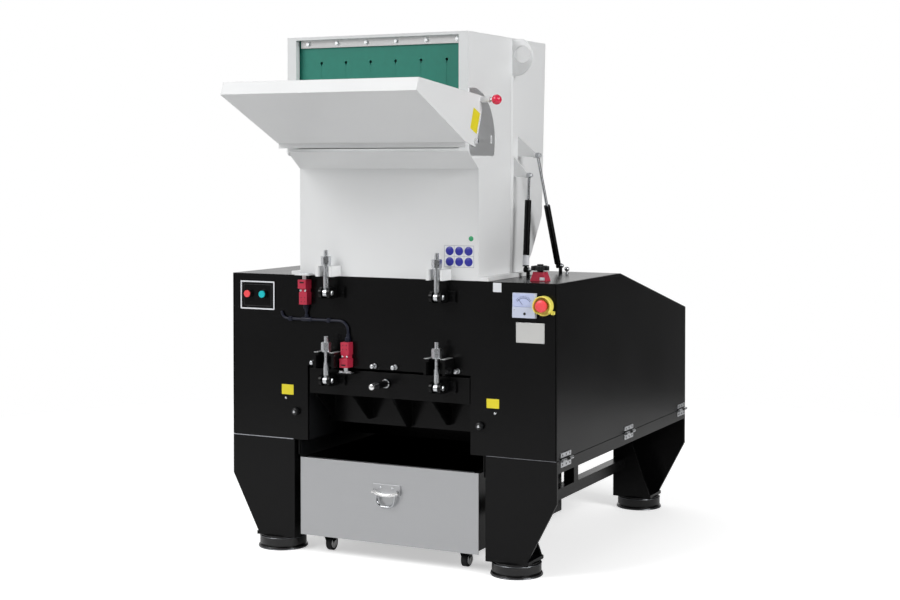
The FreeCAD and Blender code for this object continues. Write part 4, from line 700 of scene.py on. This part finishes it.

# %% [markdown]
# ## Hinge leaves of the side doors
# A butt hinge is two leaves of zinc sheet round one pin, each held by three screws. The upper
# leaf and its screws move with the door, so they are pieces of their own. Each screw is drawn
# as a black disc: painted shade in its recess, which is what shows from a distance.

# %% Hinge leaves
HINGE_MIDDLES = (72, 657, 1242)
DOOR_FACE = 617
SEAM = 390
LEAF_THICK = 2.4
RECESS_SHADE = [(0, 0), (3.4, 0), (3.4, 0.3), (2.6, 0.5), (0, 0.5)]
for side, sign, axis in (("right", 1, "+X"), ("left", -1, "-X")):
    for part, body, low, high in (("door", side + "_door", SEAM + 7.5, SEAM + 23),
                                  ("rail", "machine", SEAM - 23, SEAM - 7.5)):
        middle = (low + high) / 2
        leaves = [plate(place(sign * DOOR_FACE, y, middle), axis, 85, high - low, LEAF_THICK, 1)
                  for y in HINGE_MIDDLES]
        # Black discs in the screw holes are painted shade.
        recess_shades = [turned(place(sign * (DOOR_FACE + LEAF_THICK), y + dy, middle), axis, RECESS_SHADE, 14)
                    for y in HINGE_MIDDLES for dy in (-30, 0, 30)]
        zinc_piece(f"{side}_{part}_hinge_leaves", leaves, body)
        black_piece(f"{side}_{part}_hinge_screw_shades", recess_shades, body)
print("hinge leaves on both sides")

# %% [markdown]
# ## Tray and strut fittings
# The tray turns on two bolts, and its plunger slides in a white boss on a bright stem. Every
# strut ends in an eye held by a nut. One strut carries a white paper band near its foot. What the
# right side has, the left side has too, so one function makes a piece at x and at -x.


# %% Tray and strut fittings
def both_sides(make, x):
    """The same piece at x and at -x."""
    return [make(sign * x, "+X" if sign > 0 else "-X") for sign in (1, -1)]


TRAY_PIVOT = (-52, 1414)
zinc_piece("tray_pivot_bolts", both_sides(lambda x, axis: turned(
    place(x, *TRAY_PIVOT), axis, HEX_HEAD, 6), 358.6), "tray", 20)
STEM = [(5.2, 0), (6.8, 0), (6.8, 2.4), (5.9, 3.0), (5.9, 7.4), (5.2, 7.4), (5.2, 0)]
PLUNGER_REACH, PLUNGER_LEAN = 142, math.radians(71)
plunger_y = TRAY_PIVOT[0] + PLUNGER_REACH * math.cos(PLUNGER_LEAN)
plunger_z = TRAY_PIVOT[1] + PLUNGER_REACH * math.sin(PLUNGER_LEAN)
piece_of("plunger_stem", [turned(place(384.8, plunger_y, plunger_z), "+X", STEM)], "plunger",
         chrome)
NUT = [(0, 0), (8.2, 0), (8.2, 1.4), (6.4, 1.5), (6.4, 6.0), (5.4, 6.8), (3, 6.9), (3, 9), (0, 9.4)]
LIFT_FOOT, DAMPER_FOOT = (248, 984), (498, 984)
for name, body, x, y_and_z in (("lift_strut_top_nuts", "lift_rods", 403, (275, 1302)),
                               ("damper_strut_top_nuts", "damper_rods", 417, (315, 1370)),
                               ("lift_strut_foot_nuts", "machine", 410, LIFT_FOOT),
                               ("damper_strut_foot_nuts", "machine", 424, DAMPER_FOOT)):
    zinc_piece(name, both_sides(lambda at, axis: turned(place(at, *y_and_z), axis, NUT, 12), x),
               body, 25)
LIFT_UP = np.array([0, 0.0846, 0.9964])
strut_axes = np.array([[1, 0, 0], np.cross(LIFT_UP, [1, 0, 0]), LIFT_UP])
BAND = [(11.05, 0), (11.4, 0), (11.4, 34), (11.05, 34), (11.05, 0)]
face_piece("strut_paper_band", [turned(place(398, *LIFT_FOOT) + LIFT_UP * 15 * MM, strut_axes,
                                       BAND)], white_film, "lift_tubes")
print("tray and strut fittings are on")

# %% [markdown]
# ## Backing of the curtain's slits
# The flaps of the rubber curtain touch at their slits, so no light shows between them. The
# solid curtain has its slits sawn open, and a narrow strip of the same rubber inside each one
# closes it to the eye and leaves the round holes at the top.

# %% Curtain backing
FIRST_SLIT, SLIT_PITCH, SLITS = -222, 94.4, 6
strips = [plate(place(FIRST_SLIT + SLIT_PITCH * i, -46, 1536), "-Y", 3.4, 268, 4.7, 0.5, 0.2)
          for i in range(SLITS)]
piece_of("curtain_slit_backing", strips, "hopper", curtain_rubber)
print(len(strips), "slits are backed")

# %% [markdown]
# ## Black lips beside the bin
# A black rubber lip hangs from the skirt on each side of the bin and closes the gap there. Its
# black is painted shade, which makes the room above the bin black from end to end.

# %% Bin lips
LIP_LENGTH, LIP_HEIGHT, LIP_THICK = 740, 74, 1.6
# The black lips in the gaps beside the bin are painted shade.
shade_lips = [plate(place(x, 389, 352), axis, LIP_LENGTH, LIP_HEIGHT, LIP_THICK, 1)
        for x, axis in ((352, "-X"), (-352, "+X"))]
piece_of("bin_side_shade_lips", shade_lips, "machine", tyre_rubber)
print("two lips")

# %% [markdown]
# ## Fittings of the switch cable
# The cable branches in a moulded tee under the upper switch, and a ribbed boot guards its bend
# at each switch. Boots and tee are turned sleeves round the cable's own line.

# %% Cable fittings
BOOT = [(4.6, 0), (6.2, 0), (6.6, 2), (6.2, 4), (7.0, 6), (6.6, 8), (7.6, 10), (7.2, 12),
        (8.4, 14), (8.0, 16), (9.2, 18), (9.4, 24), (4.6, 24), (4.6, 0)]
TEE = [(4.6, -20), (6.6, -20), (7.4, -17), (7.4, 17), (6.6, 20), (4.6, 20), (4.6, -20)]
TEE_BRANCH = [(4.6, 5), (7.2, 5), (6.6, 16), (5.4, 17), (4.6, 17), (4.6, 5)]
UPPER_SWITCH_X, LOWER_SWITCH_X = -311, -147
CABLE_Y, CABLE_Z = -6, 808
fittings = [turned(place(x, CABLE_Y, z), axis, sleeve, 24) for x, z, axis, sleeve in (
    (UPPER_SWITCH_X, 834, "+Z", BOOT), (UPPER_SWITCH_X, CABLE_Z, "+X", TEE),
    (LOWER_SWITCH_X, 764, "-Z", BOOT), (UPPER_SWITCH_X, CABLE_Z, "+Z", TEE_BRANCH))]
piece_of("cable_fittings", fittings, "machine", cable_jacket)
print(len(fittings), "cable fittings")

# %% [markdown]
# ## Keys of the safety switches
# Each switch is held shut by a steel key on the part that it watches: a tongue that enters the
# switch's head, on a small foot with two screws. The upper key goes with the hopper and the
# lower one with the cradle.

# %% Switch keys
for name, body, x, tongue_z, tongue_height, foot_z, screw, screw_y in (
        ("upper_switch_key", "hopper", UPPER_SWITCH_X, 953.5, 15, 964.5, (DOME_SCREW, 20), -20),
        ("lower_switch_key", "cradle", LOWER_SWITCH_X, 643.5, 17, 634, (HEX_HEAD, 6), -26)):
    key = [plate(place(x, -20, tongue_z), "-Y", 15, tongue_height, 2, 1),
           plate(place(x, -17, foot_z), "+Z", 48, 26, 2, 3)]
    key += [turned(place(x + dx, screw_y, foot_z + 2), "+Z", *screw) for dx in (-17, 17)]
    zinc_piece(name, key, body)
print("two switch keys")

# %% [markdown]
# ## Edge highlights and an eye
# Where the housing stands on the front legs, a pale line along each leg's top edge is a painted
# highlight, wider on the left than on the right, and a small bright eye is screwed into the deck
# beside the strut.

# %% Edges and an eye
LEG_MIDDLE, LEG_WIDTH = 492, 246
# Pale strips along the legs' top edges are painted highlights, the left one wider.
edge_highlights = [plate(place(-LEG_MIDDLE, 0, SEAM), "-Y", LEG_WIDTH, 2.4, 0.6, 0.6, 0.1),
         plate(place(LEG_MIDDLE, 0, SEAM), "-Y", LEG_WIDTH, 0.8, 0.4, 0.3, 0.1)]
face_piece("leg_edge_highlights", edge_highlights, grey_film)
EYE = [(0, 0), (7, 0), (7, 2), (3, 3), (3, 8), (6, 9.5), (8.4, 13), (8.8, 17), (7, 21), (3.6, 23.4),
       (0, 24)]
zinc_piece("deck_eye_screw", [turned(place(453.8, 477, 959), "+Z", EYE)])
print("shims and an eye")

# %% [markdown]
# ## Highlight plates on the lugs, and pad rims
# Bright zinc plates lie on the black lugs' tops under the lower bolts' nuts; their brightness is a
# painted highlight for the light on those tops.
# Each foot pad is a rubber block between two steel cups, whose rolled edges catch the light.

# %% Lug highlight plates and pad rims
# Bright zinc on the lugs' tops is a painted highlight.
top_highlights = []
for middle in (-BOLT_X, BOLT_X):
    top_highlights += [plate(place(middle + dx, -33, 704), "+Z", 18, 58, 0.8, 1.5) for dx in (-30.5, 30.5)]
piece_of("lug_top_highlight_plates", top_highlights, "machine", bright_zinc)
LOW_RIM = [(84.5, 1.2), (86.3, 1.2), (86.9, 2.6), (86.3, 4.0), (84.5, 4.0), (84.5, 1.2)]
HIGH_RIM = [(80.5, 38.4), (82.3, 38.4), (82.9, 39.6), (82.3, 40.8), (80.5, 40.8), (80.5, 38.4)]
PAD_PLACES = [(x, y) for x in (-449.5, 449.5) for y in (61.2, 1232.8)]
rims = [turned(place(x, y, 0), "+Z", rim, 72)
        for x, y in PAD_PLACES for rim in (LOW_RIM, HIGH_RIM)]
piece_of("pad_steel_rims", rims, "machine", pad_steel)
print(len(top_highlights), "wear plates and", len(rims), "rims")

# %% [markdown]
# ## Switch trim, lock label, bin screws and caster hubs
# These small things catch the light: screws at each switch's waist, a label on the lock, the
# screws of the bin's handle and the pale hubs of the casters. A black plate in each key's slot
# is painted shade, and four small black squares sit on each switch's body.

# %% Small trim
WAISTS = ((UPPER_SWITCH_X, 908.5), (LOWER_SWITCH_X, 689.5))
zinc_piece("switch_screws", [turned(place(x + dx, -30, z), "-Y", DOME_SCREW, 20)
                             for x, z in WAISTS for dx in (-9, 9)])
# A black plate in the key's slot on each switch head is painted shade.
shades_and_marks = [plate(place(x, -38, z), "-Y", 17, 5, 0.3, 1)
         for x, z in ((UPPER_SWITCH_X, 936), (LOWER_SWITCH_X, 662))]
for x, heights in ((UPPER_SWITCH_X, (870, 884)), (LOWER_SWITCH_X, (714, 728))):
    shades_and_marks += [plate(place(x + dx, -30, z), "-Y", 3.2, 3.2, 0.3, 0.6)
              for dx in (-7, 7) for z in heights]
black_piece("switch_slot_shades_and_marks", shades_and_marks)
face_piece("lock_label", [plate(place(527, 88, 966.5), "-Y", 18, 10, 0.4, 1)], white_film)
zinc_piece("bin_handle_screws", [turned(place(x, -4.6, 253), "-Y", DOME_SCREW, 20)
                                 for x in (-22, 22)], "bin")
HUB = [(0, 0), (18, 0), (18, 0.6), (17, 1.4), (9, 1.4), (8, 0.4), (0, 0.4)]
AXLE_CAP = [(0, 0), (10, 0), (10, 1.0), (9, 1.8), (6, 1.8), (5.4, 0.8), (0, 0.8)]
CASTER_X, CASTER_Y, AXLE_Z = 262, 76, 25
for side, x in (("right", CASTER_X), ("left", -CASTER_X)):
    for part, body, out, profile in (("hub", side + "_wheel", 11, HUB),
                                     ("axle_cap", side + "_fork", 16, AXLE_CAP)):
        faces = [turned(place(x + out, CASTER_Y, AXLE_Z), "+X", profile),
                 turned(place(x - out, CASTER_Y, AXLE_Z), "-X", profile)]
        face_piece(f"{side}_caster_{part}", faces, hub_plastic, body)
print("the small trim is on")

# %% [markdown]
# ## A bent bar
# The handle's lip and ring are round bars that bend, so a circle is carried along a line. A
# curve with a bevel would do for the ring, but the lip's thickness changes along its way.


# %% Bent bars
def swept(centre, x, z, radius, around=20):
    """Points of a round bar bent in an upright plane, along the line (x, z), sizes in mm.

    A point is the line's point plus radius times (cos t, sin t), where cos t goes square to the
    line in its plane and sin t goes to the back. Both ends are drawn in to a point.
    """
    line = np.stack([x, 0 * x, z], axis=-1) * MM
    along = np.gradient(line, axis=0)
    along /= np.linalg.norm(along, axis=1, keepdims=True)
    back = np.array([0.0, 1.0, 0.0])
    square = np.cross(back, along)
    angle = np.linspace(0, 2 * np.pi, around, endpoint=False)[:, None]
    ring = np.cos(angle) * square[:, None] + np.sin(angle) * back
    skin = line[:, None] + np.broadcast_to(radius, x.shape)[:, None, None] * MM * ring
    ends = [np.repeat(line[i][None, None], around, 1) for i in (0, -1)]
    return np.array(centre) + np.concatenate([ends[0], skin, ends[1]])


print("bars can be bent")

# %% [markdown]
# ## The bin's drop handle
# A pressed plate is screwed to the bin. Its lower edge is rolled into a lip like a new moon, which
# hides the hinge pin, and a bent ring hangs from it. The ring is a round bar along half of a
# squarish oval, so it takes the place of the solid handle with its straight sides.

# %% Drop handle
PIN_Y, PIN_Z = -13, 238
GRIP_MIDDLE, GRIP_WIDTH, GRIP_HEIGHT = 246.5, 104, 35
piece_of("bin_grip_plate", [plate(place(0, -4, GRIP_MIDDLE), "-Y", GRIP_WIDTH,
                                GRIP_HEIGHT, 0.6, 5)], "bin", stainless)
LIP_REACH = 47
lip_x = np.linspace(-49, 49, 33)
bow = (lip_x / LIP_REACH) ** 2
lip = swept(place(0, PIN_Y + 1, PIN_Z), lip_x, 11 * bow - 9, 6.4 + 2.4 * bow)
piece_of("bin_grip_lip", [lip], "bin", polished_strip, 50)
half_turn = np.linspace(0, np.pi, 41)
SQUARISH = 2 / 3.2
RING_HALF, RING_DROP, RING_BAR = 35, 48, 4.1
ring_x = -RING_HALF * np.sign(np.cos(half_turn)) * np.abs(np.cos(half_turn)) ** SQUARISH
ring_z = -RING_DROP * np.abs(np.sin(half_turn)) ** SQUARISH
ring = piece_of("bin_ring_handle", [swept(place(0, PIN_Y, PIN_Z), ring_x, ring_z, RING_BAR)],
                "bin_bail", chrome, 50)
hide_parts("bin_drop_handle")
print("a ring", round(np.ptp(ring_x)), "mm wide")

# %% [markdown]
# ## The studio floor
# The floor is a round white disc. It is lifted to white for the camera, faintly for reflections,
# and it keeps the machine's shadow. The light path tells the shader which ray is asking.

# %% Floor
FLOOR_RADIUS, FLOOR_STEPS = 3.6, 96
FLOOR_LIFT, MIRRORED_LIFT = 0.5, 0.08
turn = np.linspace(0, 2 * np.pi, FLOOR_STEPS, endpoint=False)
rim = np.stack([FLOOR_RADIUS * np.cos(turn), FLOOR_RADIUS * np.sin(turn), 0 * turn], axis=-1)
floor_mesh = bpy.data.meshes.new("studio_floor")
floor_mesh.from_pydata(rim.tolist(), [], [tuple(range(FLOOR_STEPS))])
studio_floor = bpy.data.objects.new("studio_floor", floor_mesh)
bpy.context.scene.collection.objects.link(studio_floor)
floor_finish, shader, _ = finish_of("white_studio_floor", "#F4F4F4", 0.9, specular=0.2)
seen = add_node(floor_finish, "LightPath")
faint = add_node(floor_finish, "Math", {"operation": "MULTIPLY"},
                 {0: seen.outputs["Is Glossy Ray"]})
faint.inputs[1].default_value = MIRRORED_LIFT
either = add_node(floor_finish, "Math", {"operation": "MAXIMUM"},
                  {0: seen.outputs["Is Camera Ray"], 1: faint.outputs["Value"]})
any_of = add_node(floor_finish, "Math", {"operation": "MAXIMUM"},
                  {0: either.outputs["Value"], 1: seen.outputs["Is Transmission Ray"]})
lift = add_node(floor_finish, "Math", {"operation": "MULTIPLY"}, {0: any_of.outputs["Value"]})
lift.inputs[1].default_value = FLOOR_LIFT
shader.inputs["Emission Color"].default_value = (1, 1, 1, 1)
feed(floor_finish, shader, Emission_Strength=lift.outputs["Value"])
floor_mesh.materials.append(floor_finish)
print("a floor", 2 * FLOOR_RADIUS, "m across")

# %% [markdown]
# ## The tent
# White cloth surrounds the machine, and the camera sees it as plain white. A black flag hangs on
# the right, which is how a black side stays black in a white room: the tent fades out towards
# it. Towards the back on the left the tent is at its brightest, and the deck mirrors it.

# %% Tent
DARKEST = 0.04
world = bpy.data.worlds.new("studio_tent")
bpy.context.scene.world = world
world.use_nodes = True
tent = world.node_tree.nodes["Background"]
direction = add_node(world, "TexCoord").outputs["Generated"]
split = add_node(world, "SeparateXYZ", links={"Vector": direction})
flag = add_node(world, "MapRange", {"interpolation_type": "SMOOTHSTEP"},
                {"Value": split.outputs["X"]}, From_Min=-0.1, From_Max=0.33, To_Min=1.0,
                To_Max=0.0)
depth = add_node(world, "MapRange", links={"Value": split.outputs["Y"]}, From_Min=-1.0,
                 From_Max=1.0, To_Min=0.35, To_Max=1.0)
lit = add_node(world, "Math", {"operation": "MULTIPLY"},
               {0: flag.outputs["Result"], 1: depth.outputs["Result"]})
seen = add_node(world, "LightPath")
sheen = add_node(world, "MapRange", links={"Value": seen.outputs["Is Glossy Ray"]},
                 To_Min=0.8, To_Max=0.96)
level = add_node(world, "Math", {"operation": "MULTIPLY_ADD"},
                 {0: lit.outputs["Value"], 1: sheen.outputs["Result"]})
level.inputs[2].default_value = DARKEST
direct = add_node(world, "Math", {"operation": "MAXIMUM"},
                  {0: seen.outputs["Is Camera Ray"], 1: seen.outputs["Is Transmission Ray"]})
shown = add_node(world, "Math", {"operation": "MAXIMUM"},
                 {0: direct.outputs["Value"], 1: level.outputs["Value"]})
world.node_tree.links.new(shown.outputs["Value"], tent.inputs["Strength"])
tent.inputs["Color"].default_value = (1, 1, 1, 1)
print("a tent with a flag on the right")

# %% [markdown]
# ## Two lamps
# A large key lamp on the left front models the shapes, and a second one on the right fills in.
# Both are wide squares, because a wide source gives soft edges to its shadows.


# %% Lamps
def soft_lamp(name, power, size, at, towards):
    """A square area lamp that faces a point."""
    light = bpy.data.lights.new(name, "AREA")
    light.energy = power
    light.size = size
    lamp = bpy.data.objects.new(name, light)
    bpy.context.scene.collection.objects.link(lamp)
    lamp.location = at
    direction = np.array(towards) - np.array(at)
    yaw = math.atan2(direction[1], direction[0]) - math.pi / 2
    pitch = math.atan2(direction[2], math.hypot(direction[0], direction[1]))
    lamp.rotation_euler = (math.pi / 2 + pitch, 0, yaw)


MACHINE_MIDDLE = (0, 0, 0.9)
soft_lamp("key_lamp", power=280, size=3.5, at=(-3.0, -5.0, 5.0), towards=MACHINE_MIDDLE)
soft_lamp("right_lamp", power=260, size=3.0, at=(5.5, -1.5, 3.5), towards=MACHINE_MIDDLE)
bpy.context.scene.view_settings.view_transform = "Standard"
print("two lamps")
